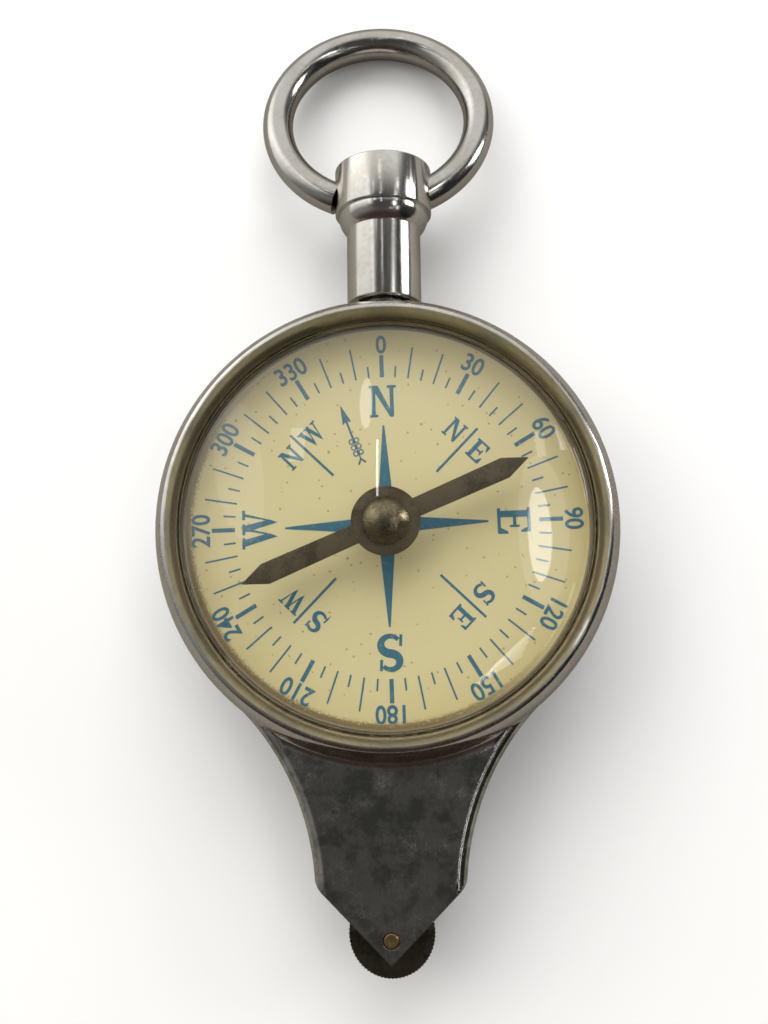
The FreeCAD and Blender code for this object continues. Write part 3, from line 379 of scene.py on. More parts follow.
def hairline_group():
    """Fine straight scratches in three directions, worn in by handling."""
    tree, shade, given, out = group_tree(
        "Hairline Scratches",
        [("Vector", VECTOR, None), ("Scale", FLOAT, 1.0), ("Threshold", FLOAT, 0.62)],
        [("Mask", FLOAT)],
    )
    inputs = {0: given["Vector"], "Scale": given["Scale"]}
    scaled = shade.make("ShaderNodeVectorMath", inputs, operation="SCALE")
    along = 700.0
    masks = []
    for turn, thin, offset in ((0.7, 26.0, 0.0), (-0.5, 34.0, 5.0), (1.6, 20.0, 9.0)):
        mapped = shade.make(
            "ShaderNodeMapping",
            {
                "Vector": scaled.outputs[0],
                "Location": (offset, 0.0, 0.0),
                "Rotation": (0.0, 0.0, turn),
                "Scale": (1 / along, 1 / (along * thin), 1 / along),
            },
            vector_type="TEXTURE",
        )
        grain = shade.noise(mapped.outputs["Vector"], 1.0, 2.0, 0.4)
        upper = shade.plus(given["Threshold"], 0.08)
        masks.append(shade.span(grain, given["Threshold"], upper))
    both = shade.larger(masks[0], masks[1])
    shade.link(shade.larger(both, masks[2]), out["Mask"])
    return tree


def pitting_group():
    """Small round pits where plate has flaked, gathered in patches."""
    tree, shade, given, out = group_tree(
        "Plate Pitting",
        [
            ("Vector", VECTOR, None),
            ("Scale", FLOAT, 2500.0),
            ("Size", FLOAT, 0.18),
            ("Patches", FLOAT, 0.5),
        ],
        [("Mask", FLOAT)],
    )
    cells = shade.cells(given["Vector"], given["Scale"])
    pits = shade.span(cells["Distance"], given["Size"], shade.times(given["Size"], 0.5))
    area = shade.noise(given["Vector"], 380.0, 3.0)
    kept = shade.span(area, given["Patches"], shade.plus(given["Patches"], 0.12))
    shade.link(shade.times(pits, kept), out["Mask"])
    return tree


def tarnish_group():
    """Soft clouds of dulled metal, with a second finer layer on top."""
    tree, shade, given, out = group_tree(
        "Tarnish Clouds",
        [
            ("Vector", VECTOR, None),
            ("Scale", FLOAT, 120.0),
            ("Clean", COLOUR, (0.6, 0.6, 0.58, 1.0)),
            ("Dull", COLOUR, (0.3, 0.28, 0.25, 1.0)),
        ],
        [("Color", COLOUR), ("Mask", FLOAT)],
    )
    broad = shade.noise(given["Vector"], given["Scale"], 5.0, 0.6)
    fine = shade.noise(given["Vector"], shade.times(given["Scale"], 9.0), 3.0, 0.5)
    blend = shade.plus(shade.times(broad, 0.7), shade.times(fine, 0.3))
    mask = shade.span(blend, 0.42, 0.62)
    shade.link(shade.mix(mask, given["Clean"], given["Dull"]), out["Color"])
    shade.link(mask, out["Mask"])
    return tree


def fleck_group():
    """Scattered dark flecks of two sizes, as on old paper."""
    tree, shade, given, out = group_tree(
        "Age Flecks",
        [("Vector", VECTOR, None), ("Amount", FLOAT, 0.05)],
        [("Mask", FLOAT)],
    )
    masks = []
    for scale, share, rarity in ((1300.0, 1.4, 0.6), (560.0, 0.9, 0.78)):
        cells = shade.cells(given["Vector"], scale)
        size = shade.times(given["Amount"], share)
        spot = shade.span(cells["Distance"], shade.times(size, 1.8), size)
        chance = shade.make("ShaderNodeSeparateColor", {0: cells["Color"]})
        masks.append(shade.times(spot, shade.maths("GREATER_THAN", chance.outputs[0], rarity)))
    shade.link(shade.larger(masks[0], masks[1]), out["Mask"])
    return tree


def ring_distance_group():
    """Distance from the dial axis, and a mask that grows towards an outer radius."""
    tree, shade, given, out = group_tree(
        "Dial Radius",
        [("Vector", VECTOR, None), ("Start", FLOAT, 0.018), ("End", FLOAT, 0.0194)],
        [("Radius", FLOAT), ("Mask", FLOAT)],
    )
    inputs = {0: given["Vector"], 1: (1.0, 1.0, 0.0)}
    flat = shade.make("ShaderNodeVectorMath", inputs, operation="MULTIPLY")
    length = shade.make("ShaderNodeVectorMath", {0: flat.outputs[0]}, operation="LENGTH")
    shade.link(length.outputs["Value"], out["Radius"])
    shade.link(shade.span(length.outputs["Value"], given["Start"], given["End"]), out["Mask"])
    return tree


# Materials. Pairs of numbers are distances from the dial axis, in metres, where a finish fades in.

TAIL_FADE = (0.0212, 0.0232)
INNER_RIM_FADE = (0.0208, 0.0205)
PAINTED_WALL_REFLECTION_FADE = (0.02035, 0.02005)
RETAINER_FADE = (0.0194, 0.0201)
CARD_EDGE = 0.0191
TURNED_LINE_STEP = 0.18 * MM


def toned(colour, *shares):
    """A colour with each of its parts multiplied."""
    return tuple(part * share for part, share in zip(colour, shares))


def case_nickel(groups, colour):
    """Old nickel plate on the pressed case: hazed, scratched, pitted and darker in the clouds,
    with a painted reflection of the card on the window wall and painted shade in the tail's
    smears.
    """
    shade = Finish("old_case_nickel")
    place = shade.place
    clouds = shade.tarnish(groups["tarnish"], 160.0, colour, toned(colour, 0.84, 0.82, 0.79))
    lines = shade.mask(groups["hairline"], Scale=1.0, Threshold=0.63)
    pits = shade.mask(groups["pitting"], Scale=3400.0, Size=0.22, Patches=0.56)
    beyond = shade.fade(groups["radius"], TAIL_FADE)
    tail = shade.plus(shade.times(beyond, 0.8), 0.2)
    pitted = shade.times(pits, shade.times(tail, 0.75))
    tint = shade.mix(pitted, clouds.outputs["Color"], (0.1, 0.08, 0.06))
    # The inner wall of the window is tinted brown olive here: a painted reflection of the card.
    wall = shade.fade(groups["radius"], PAINTED_WALL_REFLECTION_FADE)
    tint = shade.mix(shade.times(wall, 0.8), tint, (0.28, 0.22, 0.135))
    # On the tail the nickel is darkened to grey in mottled patches: partly real smears, partly
    # painted shade.
    smears_and_painted_shade = shade.span(shade.noise(place, 430.0, 6.0, 0.68), 0.42, 0.6, 0.12, 0.8)
    tint = shade.mix(shade.times(beyond, smears_and_painted_shade), tint, (0.29, 0.295, 0.25))
    haze = shade.span(shade.noise(place, 330.0, 6.0, 0.72), 0.46, 0.66)
    rough = shade.plus(shade.times(clouds.outputs["Mask"], 0.06), 0.1)
    rough = shade.plus(rough, shade.times(haze, shade.times(tail, 0.15)))
    inside = shade.fade(groups["radius"], INNER_RIM_FADE)
    rough = shade.plus(rough, shade.times(inside, 0.26))
    rough = shade.plus(rough, shade.times(lines, 0.16))
    rough = shade.plus(rough, shade.times(pits, 0.3), True)
    shade.cover(Base_Color=tint, Metallic=1.0, Roughness=rough)
    ripple = shade.noise(place, 420.0, 3.0)
    height = shade.minus(ripple, shade.times(lines, 0.25))
    height = shade.minus(height, pitted)
    shade.bump(height, strength=0.3, distance=0.008 * MM)
    return shade.material


def turned_nickel(groups, name, colour, along):
    """Bright nickel over turned or drawn metal, with fine lines along one direction."""
    shade = Finish(name)
    place = shade.place
    stretched = shade.make("ShaderNodeMapping", {"Vector": place, "Scale": along})
    lined = stretched.outputs["Vector"]
    grain = shade.noise(lined, 1.0, 4.0, 0.65)
    clouds = shade.tarnish(groups["tarnish"], 210.0, colour, toned(colour, 0.9, 0.88, 0.84))
    pits = shade.mask(groups["pitting"], Scale=2600.0, Size=0.16, Patches=0.52)
    tint = shade.mix(shade.times(pits, 0.6), clouds.outputs["Color"], (0.12, 0.09, 0.06))
    rough = shade.span(grain, 0.35, 0.7, 0.09, 0.2)
    rough = shade.plus(rough, shade.times(clouds.outputs["Mask"], 0.06))
    rough = shade.plus(rough, shade.times(pits, 0.25), True)
    shade.cover(Base_Color=tint, Metallic=1.0, Roughness=rough)
    height = shade.minus(grain, pits)
    shade.bump(height, strength=0.3, distance=0.01 * MM)
    return shade.material


def aged_card(groups, colour):
    """Cream card with a warm rim, fine flecks and a line of grime at its edge."""
    shade = Finish("aged_card")
    place = shade.place
    rim = shade.fade(groups["radius"], (CARD_EDGE - 0.006, CARD_EDGE + 0.001))
    soft = shade.noise(place, 90.0, 4.0)
    warm = shade.times(rim, shade.span(soft, 0.3, 0.7, 0.25, 0.6))
    fibre = shade.noise(place, 3800.0, 3.0, 0.7)
    strands = shade.span(fibre, 0.3, 0.7, 0.0, 0.16)
    base = shade.mix(strands, colour, (0.55, 0.46, 0.23))
    base = shade.mix(warm, base, (0.53, 0.435, 0.18))
    flecks = shade.mask(groups["flecks"], Amount=0.07)
    base = shade.mix(shade.times(flecks, 0.6), base, (0.22, 0.13, 0.05))
    side = shade.make("ShaderNodeSeparateXYZ", {0: place})
    lower_left = shade.plus(side.outputs[0], side.outputs[1])
    reach = shade.span(lower_left, 0.012, -0.016)
    crumbs = shade.noise(place, 4400.0, 5.0, 0.75)
    ring = shade.fade(groups["radius"], (CARD_EDGE - 0.0011, CARD_EDGE + 0.0001))
    inner = shade.plus(shade.times(ring, 0.24), 0.3)
    grime = shade.span(crumbs, shade.minus(0.88, inner), shade.minus(0.94, inner))
    grime = shade.times(grime, shade.times(ring, reach), True)
    base = shade.mix(grime, base, (0.16, 0.11, 0.04))
    shade.cover(Base_Color=base, Roughness=0.62)
    shade.bump(fibre, strength=0.25, distance=0.008 * MM)
    return shade.material


def dial_ink(colour):
    """Printed ink with thin worn places where the card shows through."""
    shade = Finish("dial_ink")
    place = shade.place
    wear = shade.noise(place, 2600.0, 4.0, 0.7)
    broad = shade.noise(place, 300.0, 2.0)
    share = shade.times(shade.span(wear, 0.52, 0.78), shade.span(broad, 0.35, 0.7, 0.2, 0.75))
    tint = shade.mix(share, colour, (0.36, 0.42, 0.34))
    shade.cover(Base_Color=tint, Roughness=0.5)
    return shade.material


def clear_crystal():
    """Clear crystal that lets the light fall on the card below."""
    shade = Finish("clear_crystal")
    place = shade.place
    shade.cover(Base_Color=(0.985, 0.985, 0.95), Transmission_Weight=1.0, IOR=1.49)
    shade.cover(Roughness=0.0, Metallic=0.0)
    swell = shade.noise(place, 60.0, 2.0)
    shade.bump(swell, strength=0.04, distance=0.2 * MM)
    clear = shade.node("ShaderNodeBsdfTransparent")
    path = shade.node("ShaderNodeLightPath")
    through = shade.plus(path.outputs["Is Shadow Ray"], path.outputs["Is Diffuse Ray"], True)
    inputs = {0: through, 1: shade.shader.outputs[0], 2: clear.outputs[0]}
    blend = shade.make("ShaderNodeMixShader", inputs)
    shade.link(blend.outputs[0], shade.target.inputs["Surface"])
    return shade.material


def worn_metal(groups, name, clean, dull, roughness, scale, metallic, bump):
    """Metal with a patina of two tones, rougher where it is dull."""
    shade = Finish(name)
    place = shade.place
    clouds = shade.tarnish(groups["tarnish"], scale, clean, dull)
    lines = shade.mask(groups["hairline"], Scale=1.6, Threshold=0.64)
    scratched = toned(clean, 1.3, 1.3, 1.3)
    tint = shade.mix(shade.times(lines, 0.35), clouds.outputs["Color"], scratched)
    rough = shade.plus(shade.times(clouds.outputs["Mask"], 0.2), roughness)
    shade.cover(Base_Color=tint, Metallic=metallic, Roughness=rough)
    height = shade.plus(shade.noise(place, 1900.0, 4.0, 0.65), shade.noise(place, 600.0, 2.0))
    shade.bump(height, strength=bump, distance=0.02 * MM)
    return shade.material


def retaining_brass(groups):
    """Brown toned brass with fine bright lines turned round it."""
    shade = Finish("retaining_brass")
    place = shade.place
    start, end = RETAINER_FADE
    radius = shade.group(groups["radius"], Vector=place, Start=start, End=end).outputs["Radius"]
    lines = shade.maths("SINE", shade.times(radius, 2 * math.pi / TURNED_LINE_STEP))
    bright = shade.span(lines, 0.55, 0.98)
    worn = shade.noise(place, 420.0, 4.0)
    bright = shade.times(bright, shade.span(worn, 0.35, 0.65, 0.15, 0.9))
    base = shade.mix(bright, (0.2, 0.165, 0.095), (0.42, 0.34, 0.18))
    rough = shade.span(worn, 0.3, 0.7, 0.36, 0.55)
    shade.cover(Base_Color=base, Metallic=0.15, Roughness=rough)
    shade.bump(lines, strength=0.3, distance=0.01 * MM)
    return shade.material


# Each worn metal: its material, clean and dull colours, roughness, scale of the clouds,
# metallic share and depth of bump.
WORN_METALS = {
    "needle": (
        "needle_patina", (0.066, 0.052, 0.026), (0.036, 0.026, 0.012), 0.55, 420.0, 0.0, 0.4,
    ),
    "cap": ("cap_brass", (0.25, 0.215, 0.14), (0.2, 0.17, 0.105), 0.2, 700.0, 1.0, 0.04),
    "wheel": ("tracing_patina", (0.1, 0.083, 0.055), (0.036, 0.026, 0.015), 0.3, 260.0, 0.85, 0.4),
    "pin": ("pin_brass", (0.62, 0.46, 0.2), (0.34, 0.23, 0.09), 0.25, 500.0, 1.0, 0.4),
    "brass": ("movement_brass", (0.62, 0.48, 0.22), (0.46, 0.34, 0.14), 0.26, 200.0, 1.0, 0.4),
    "steel": ("turned_steel", (0.5, 0.5, 0.49), (0.3, 0.29, 0.27), 0.22, 300.0, 1.0, 0.4),
    "blued": ("blued_steel", (0.02, 0.04, 0.13), (0.015, 0.02, 0.05), 0.22, 200.0, 0.9, 0.1),
}
MATERIALS = {}


def make_materials(look):
    """Build every finish once."""
    groups = {
        "hairline": hairline_group(),
        "pitting": pitting_group(),
        "tarnish": tarnish_group(),
        "flecks": fleck_group(),
        "radius": ring_distance_group(),
    }
    nickel = tuple(look.nickel_colour)
    worn_nickel = toned(nickel, 0.82, 0.82, 0.82)
    MATERIALS.update(
        case=case_nickel(groups, nickel),
        neck=turned_nickel(groups, "turned_neck_nickel", nickel, (5200.0, 160.0, 5200.0)),
        ring=turned_nickel(groups, "drawn_ring_nickel", worn_nickel, (900.0, 900.0, 4200.0)),
        card=aged_card(groups, tuple(look.card_colour)),
        ink=dial_ink(tuple(look.ink_colour)),
        crystal=clear_crystal(),
        retainer=retaining_brass(groups),
    )
    for finish, row in WORN_METALS.items():
        MATERIALS[finish] = worn_metal(groups, *row)


# Settings that a user would change

COLOUR_RANGE = {"subtype": "COLOR", "size": 3, "min": 0.0, "max": 1.0}
LENGTH_UNIT = {"subtype": "DISTANCE", "unit": "LENGTH"}


class MeasurerSettings(bpy.types.PropertyGroup):
    """Colours and sizes of the map measurer"""

    nickel_colour: bpy.props.FloatVectorProperty(
        name="Nickel",
        description="Colour of the plated case, neck and ring",
        default=(0.70, 0.685, 0.655),
        **COLOUR_RANGE,
    )
    card_colour: bpy.props.FloatVectorProperty(
        name="Card",
        description="Colour of the aged dial cards",
        default=(0.62, 0.55, 0.30),
        **COLOUR_RANGE,
    )
    ink_colour: bpy.props.FloatVectorProperty(
        name="Ink",
        description="Colour of the printing on the cards",
        default=(0.035, 0.135, 0.2),
        **COLOUR_RANGE,
    )
    dial_turn: bpy.props.FloatProperty(
        name="Dial Turn",
        description="How far the compass card is turned from the neck",
        subtype="ANGLE",
        default=math.radians(1.1),
    )
    ink_height: bpy.props.FloatProperty(
        name="Ink Height",
        description="Thickness of the printed ink",
        default=0.012 * MM,
        **LENGTH_UNIT,
    )
    wire_radius: bpy.props.FloatProperty(
        name="Ring Wire",
        description="Radius of the wire of the suspension ring",
        default=1.58 * MM,
        **LENGTH_UNIT,
    )
    ring_radius: bpy.props.FloatProperty(
        name="Ring Radius",
        description="Radius of the suspension ring to the middle of its wire",
        default=10.63 * MM,
        **LENGTH_UNIT,
    )


def settings():
    """The settings of this scene."""
    return bpy.context.scene.map_measurer


# Printing on the dials

def tick_tree():
    """Geometry Nodes tree that lays printed strokes along a circle, one step apart."""
    tree = bpy.data.node_groups.new("Printed Strokes", "GeometryNodeTree")
    lengths = ("Step", "Phase", "Inner Radius", "Length", "Width", "Thickness", "Level")
    kinds = {"Count": "NodeSocketInt", **dict.fromkeys(lengths, FLOAT)}
    kinds.update({"Skip": "NodeSocketInt", "Ink": "NodeSocketMaterial"})
    for label, kind in kinds.items():
        tree.interface.new_socket(label, in_out="INPUT", socket_type=kind)
    tree.interface.new_socket("Geometry", in_out="OUTPUT", socket_type="NodeSocketGeometry")
    shade = Shade(tree)
    given = shade.node("NodeGroupInput").outputs
    target = shade.node("NodeGroupOutput")
    index = shade.node("GeometryNodeInputIndex").outputs[0]
    turn = shade.plus(shade.times(index, given["Step"]), given["Phase"])
    middle = shade.plus(given["Inner Radius"], shade.times(given["Length"], 0.5))
    place = shade.make(
        "ShaderNodeCombineXYZ",
        {
            0: shade.times(shade.maths("COSINE", turn), middle),
            1: shade.times(shade.maths("SINE", turn), middle),
            2: given["Level"],
        },
    )
    inputs = {"Count": given["Count"], "Position": place.outputs[0]}
    points = shade.make("GeometryNodePoints", inputs)
    inputs = {0: given["Length"], 1: given["Width"], 2: given["Thickness"]}
    size = shade.make("ShaderNodeCombineXYZ", inputs)
    stroke = shade.make("GeometryNodeMeshCube", {"Size": size.outputs[0]})
    kept = shade.maths("GREATER_THAN", shade.maths("MODULO", index, given["Skip"]), 0.5)
    every = shade.maths("LESS_THAN", given["Skip"], 1.5)
    chosen = shade.larger(kept, every)
    heading = shade.make("ShaderNodeCombineXYZ", {2: turn})
    copies = shade.make(
        "GeometryNodeInstanceOnPoints",
        {
            "Points": points.outputs[0],
            "Instance": stroke.outputs["Mesh"],
            "Selection": chosen,
            "Rotation": heading.outputs[0],
        },
    )
    real = shade.make("GeometryNodeRealizeInstances", {0: copies.outputs[0]})
    inputs = {"Geometry": real.outputs[0], "Material": given["Ink"]}
    inked = shade.make("GeometryNodeSetMaterial", inputs)
    shade.link(inked.outputs[0], target.inputs[0])
    return tree


def printed_strokes(name, tree, **sizes):
    """Run the stroke tree once and keep its result as a plain mesh."""
    holder = placed(f"{name}_holder", bpy.data.meshes.new(f"{name}_holder"))
    modifier = holder.modifiers.new("strokes", "NODES")
    modifier.node_group = tree
    sockets = {s.name: s.identifier for s in tree.interface.items_tree if s.in_out == "INPUT"}
    for key, size in sizes.items():
        modifier[sockets[key.replace("_", " ")]] = size
    mesh = baked_mesh(holder)
    mesh.name = name
    holder.modifiers.clear()
    bpy.data.objects.remove(holder)
    return placed(name, mesh)


def ribbon(points, widths):
    """Outline of a stroke of changing width along a middle line."""
    left, right = [], []
    for index, point in enumerate(points):
        here = Vector(point)
        before = Vector(points[max(index - 1, 0)])
        after = Vector(points[min(index + 1, len(points) - 1)])
        along = (after - before).normalized()
        across = Vector((-along.y, along.x)) * (widths[index] / 2)
        left.append(tuple(here + across))
        right.append(tuple(here - across))
    return right + list(reversed(left))


def bar(x0, y0, x1, y1, width):
    return ribbon([(x0, y0), (x1, y1)], [width, width])


def s_curve():
    """The letter S as one stroke that swells in the middle."""
    points, widths = [], []
    for index in range(29):
        t = index / 28
        if t < 0.5:
            angle = math.radians(35 + 235 * t * 2)
            points.append((0.245 * math.cos(angle), 0.235 + 0.215 * math.sin(angle)))
        else:
            angle = math.radians(90 - 235 * (t - 0.5) * 2)
            points.append((0.265 * math.cos(angle), -0.225 + 0.235 * math.sin(angle)))
        widths.append(0.12 + 0.12 * math.sin(math.pi * t) ** 2)
    points[14] = (0.0, 0.015)
    return ribbon(points, widths)


def letter_shapes():
    """Serif capitals as flat outlines, one unit tall about their centre."""
    thin, thick, foot = 0.12, 0.2, 0.085
    letter_n = [
        bar(-0.28, -0.46, -0.28, 0.44, thin),
        bar(0.28, -0.46, 0.28, 0.47, thin),
        [(-0.36, 0.5), (-0.14, 0.5), (0.34, -0.5), (0.22, -0.5), (-0.3, 0.4)],
        bar(-0.42, -0.46, -0.14, -0.46, foot),
        bar(0.14, 0.46, 0.42, 0.46, foot),
        bar(-0.42, 0.46, -0.2, 0.46, foot),
    ]
    letter_e = [
        bar(-0.2, -0.48, -0.2, 0.48, thick),
        bar(-0.38, 0.45, 0.34, 0.45, 0.1),
        bar(-0.38, -0.45, 0.36, -0.45, 0.1),
        bar(-0.2, 0.02, 0.16, 0.02, 0.1),
        [(0.36, 0.5), (0.36, 0.2), (0.3, 0.2), (0.2, 0.42)],
        [(0.4, -0.5), (0.4, -0.18), (0.34, -0.18), (0.2, -0.42)],
        bar(0.17, -0.13, 0.17, 0.17, 0.07),
    ]
    letter_w = [
        [(-0.5, 0.48), (-0.3, 0.48), (-0.12, -0.26), (-0.22, -0.5)],
        [(-0.22, -0.5), (-0.14, -0.3), (0.06, 0.48), (-0.03, 0.48)],
        [(-0.1, 0.48), (0.1, 0.48), (0.27, -0.26), (0.18, -0.5)],
        [(0.18, -0.5), (0.25, -0.3), (0.46, 0.48), (0.37, 0.48)],
        bar(-0.56, 0.46, -0.24, 0.46, foot),
        bar(-0.16, 0.46, 0.15, 0.46, foot),
        bar(0.27, 0.46, 0.54, 0.46, foot),
    ]
    letter_s = [
        s_curve(),
        bar(0.25, 0.18, 0.27, 0.49, 0.08),
        bar(-0.28, -0.18, -0.3, -0.5, 0.08),
    ]
    return {"N": letter_n, "E": letter_e, "W": letter_w, "S": letter_s}


def on_dial(outline, radius, bearing, size, sideways=0.0):
    """Place an outline on the dial with its top outwards. Bearings run clockwise from the neck."""
    up = Vector((math.sin(bearing), math.cos(bearing)))
    right = Vector((math.cos(bearing), -math.sin(bearing)))
    centre = up * radius + right * sideways
    return [tuple(centre + right * (x * size) + up * (y * size)) for x, y in outline]


def on_circle(radius, angle):
    return radius * math.cos(angle), radius * math.sin(angle)


def lay_strokes(rows, phase, level):
    """Print a ring of strokes for each row: name, count, step and start in degrees, inner end,
    length and width in millimetres, and skip, the stroke left out each time."""
    tree = tick_tree()
    for name, count, step, start, inner, length, width, skip in rows:
        piece = printed_strokes(
            name,
            tree,
            Count=count,
            Step=math.radians(step),
            Phase=math.radians(start) + phase,
            Inner_Radius=inner * MM,
            Length=length * MM,
            Width=width * MM,
            Thickness=settings().ink_height,
            Level=level,
            Skip=skip,
            Ink=MATERIALS["ink"],
        )
        seat(piece, "case", "card_paper")


def print_shapes(name, outlines, level, under=0):
    """Print many flat outlines as one piece. Strokes that cross differ a little in height."""
    thickness = settings().ink_height
    bm = bmesh.new()
    for number, outline in enumerate(outlines):
        area = 0.0
        for index, (x, y) in enumerate(outline):
            following = outline[(index + 1) % len(outline)]
            area += x * following[1] - following[0] * y
        ordered = outline if area > 0 else list(reversed(outline))
        step = (number % OVERPRINTS) * OVERPRINT_STEP
        slab(bm, ordered, level - step * under, level + thickness + step * (1 - under))
    piece = object_from(name, bm, MATERIALS["ink"], 30.0)
    seat(piece, "case", "card_paper")


def print_numbers(name, labels, radius, size, level, behind=False, turn=0.0):
    """Print figures round a dial with their tops outwards, joined as one piece."""
    bm = bmesh.new()
    for text, bearing in labels:
        curve = bpy.data.curves.new(name, "FONT")
        curve.body = text
        curve.size = size * MM
        curve.align_x = "CENTER"
        curve.align_y = "CENTER"
        curve.extrude = settings().ink_height / 2
        curve.offset = FIGURE_WEIGHT * curve.size
        curve.resolution_u = 4
        holder = placed(name, curve)
        mesh = baked_mesh(holder)
        bpy.data.objects.remove(holder)
        angle = bearing + turn
        across, up = math.sin(angle) * radius * MM, math.cos(angle) * radius * MM
        place = Matrix.Translation((across, up, 0.0)) @ Matrix.Rotation(-angle, 4, "Z")
        place = place @ Matrix.Diagonal((FIGURE_NARROWING, 1.0, 1.0, 1.0))
        if behind:
            place = Matrix.Rotation(math.pi, 4, "Y") @ place
        mesh.transform(Matrix.Translation((0.0, 0.0, level)) @ place)
        bm.from_mesh(mesh)
        bpy.data.meshes.remove(mesh)
    bmesh.ops.remove_doubles(bm, verts=bm.verts, dist=1e-8)
    piece = object_from(name, bm, MATERIALS["ink"], 30.0)
    seat(piece, "case", "card_paper")


def star_outlines(turn):
    """Four long tapering pointers of the compass star."""
    root, tip, root_half, tip_half = 2.6 * MM, 9.7 * MM, 0.69 * MM, 0.09 * MM
    shape = [(-root_half, root), (root_half, root), (tip_half, tip), (-tip_half, tip)]
    return [on_dial(shape, 0.0, index * math.pi / 2 - turn, 1.0) for index in range(4)]


def variation_arrow_outlines(turn):
    """The small arrow west of north: head, shaft, a chain of loops and a split tail."""
    bearing = math.radians(-19.3) - turn
    shapes = [
        [(0.0, 12.6), (-0.45, 10.6), (0.0, 10.85), (0.45, 10.6)],
        bar(0.0, 10.9, 0.0, 9.0, 0.2),
        bar(0.0, 9.1, 0.0, 6.8, 0.12),
        bar(0.0, 6.9, 0.36, 6.4, 0.17),
        bar(0.0, 6.9, -0.36, 6.4, 0.17),
    ]
    for level in (8.75, 8.13, 7.51):
        for side in (-1, 1):
            loop = []
            for index in range(9):
                angle = math.radians(40 * index)
                loop.append((side * 0.27 + 0.22 * math.cos(angle), level + 0.24 * math.sin(angle)))
            for first, second in zip(loop, loop[1:] + loop[:1]):
                shapes.append(bar(*first, *second, 0.12))
    return [on_dial(shape, 0.0, bearing, MM) for shape in shapes]


def quarter_outlines(turn, letters):
    """NE, SE, SW and NW: a radial divider with one letter on each side."""
    outlines = []
    pairs = (("N", "E", 45), ("S", "E", 135), ("S", "W", 225), ("N", "W", 315))
    for first, second, degrees in pairs:
        bearing = math.radians(degrees) - turn
        outlines.append(on_dial(bar(0.0, 7.0, 0.0, 12.8, 0.24), 0.0, bearing, MM))
        for letter, side in ((first, -1), (second, 1)):
            for shape in letters[letter]:
                outlines.append(on_dial(shape, 11.2 * MM, bearing, 2.05 * MM, side * 1.5 * MM))
    return outlines


def cardinal_outlines(turn, letters):
    """The large N, E, S and W."""
    outlines = []
    for letter, degrees in (("N", 0), ("E", 90), ("S", 180), ("W", 270)):
        size = 3.4 * MM if letter in "SW" else 3.15 * MM
        for shape in letters[letter]:
            outlines.append(on_dial(shape, 12.1 * MM, math.radians(degrees) - turn, size))
    return outlines


# Operators, one for each piece or group of like pieces

# The finish of each CAD piece.
NODE_FINISHES = {
    "case": "front_shell rear_shell neck_collar",
    "neck": "neck",
    "ring": "suspension_ring",
    "crystal": "front_glass rear_glass",
    "retainer": "front_retainer rear_retainer",
    "card": "compass_card measuring_card",
    "brass": "compass_dial_plate measuring_dial_plate front_plate rear_plate plate_pillars "
    "first_wheel second_wheel third_wheel centre_wheel",
    "steel": "compass_pivot plate_rivets neck_screw first_arbor second_arbor third_arbor "
    "centre_arbor tracing_pinion",
    "needle": "compass_needle",
    "cap": "needle_cap",
    "wheel": "tracing_wheel",
    "pin": "wheel_pin",
    "blued": "measuring_hand",
}


class MEASURER_OT_materials(bpy.types.Operator):
    """Make the finishes and put them on the CAD pieces that stay"""

    bl_idname = "measurer.materials"
    bl_label = "Finishes"

    def execute(self, context):
        make_materials(settings())
        for finish, nodes in NODE_FINISHES.items():
            for node in nodes.split():
                for slot in frame["nodes"][node].material_slots:
                    slot.material = MATERIALS[finish]
        return {"FINISHED"}


class MEASURER_OT_case(bpy.types.Operator):
    """Build the two pressed half cases with smooth walls"""

    bl_idname = "measurer.case"
    bl_label = "Half Cases"

    def execute(self, context):
        rim_foot = CRYSTAL_EDGE + 1.4 * MM
        for name, node in (("front_case", "front_shell"), ("rear_case", "rear_shell")):
            shell = merged_copy(name, node, MATERIALS["case"], 50.0, flat_angle=0.3)
            seat(steadied(shell, rim_foot), "case", "nickel_shell", node)
        return {"FINISHED"}


class MEASURER_OT_crystals(bpy.types.Operator):
    """Turn the domed compass crystal and the flat rear one"""

    bl_idname = "measurer.crystals"
    bl_label = "Crystals"

    def execute(self, context):
        edge, foot, top = CRYSTAL_EDGE, CRYSTAL_FOOT, CRYSTAL_TOP
        flange, ledge, wall = 0.7 * MM, 1.2 * MM, 0.45 * MM
        knee_round, inner_round = 2.3 * MM, 1.6 * MM
        flange_top = foot + flange
        outer_foot = (edge - ledge, flange_top)
        inner_foot = (edge - ledge - wall, foot)
        knee = (edge - 2.5 * MM, flange_top + 1.4 * MM)
        inner_knee = (edge - 2.85 * MM, foot + 1.75 * MM)
        inner_top = top - wall
        outer_radius = crown_radius(knee[0], top - knee[1])
        inner_radius = crown_radius(inner_knee[0], inner_top - inner_knee[1])
        profile = bulge((0.0, top), knee, outer_radius, 40)
        profile += bulge(knee, outer_foot, knee_round, 10)[1:]
        profile += [(edge, flange_top), (edge, foot)]
        inner = bulge((0.0, inner_top), inner_knee, inner_radius, 40)
        inner += bulge(inner_knee, inner_foot, inner_round, 10)[1:]
        profile += list(reversed(inner))
        crystal = turned("compass_crystal", profile, MATERIALS["crystal"], smooth=40.0)
        seat(crystal, "case", "crystal", "front_glass")
        low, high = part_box("rear_glass")
        disc = eased([(0.0, low.z), (edge, low.z), (edge, high.z), (0.0, high.z)], 0.12 * MM)
        rear = turned("measuring_crystal", disc, MATERIALS["crystal"], smooth=40.0)
        seat(rear, "case", "crystal", "rear_glass")
        return {"FINISHED"}


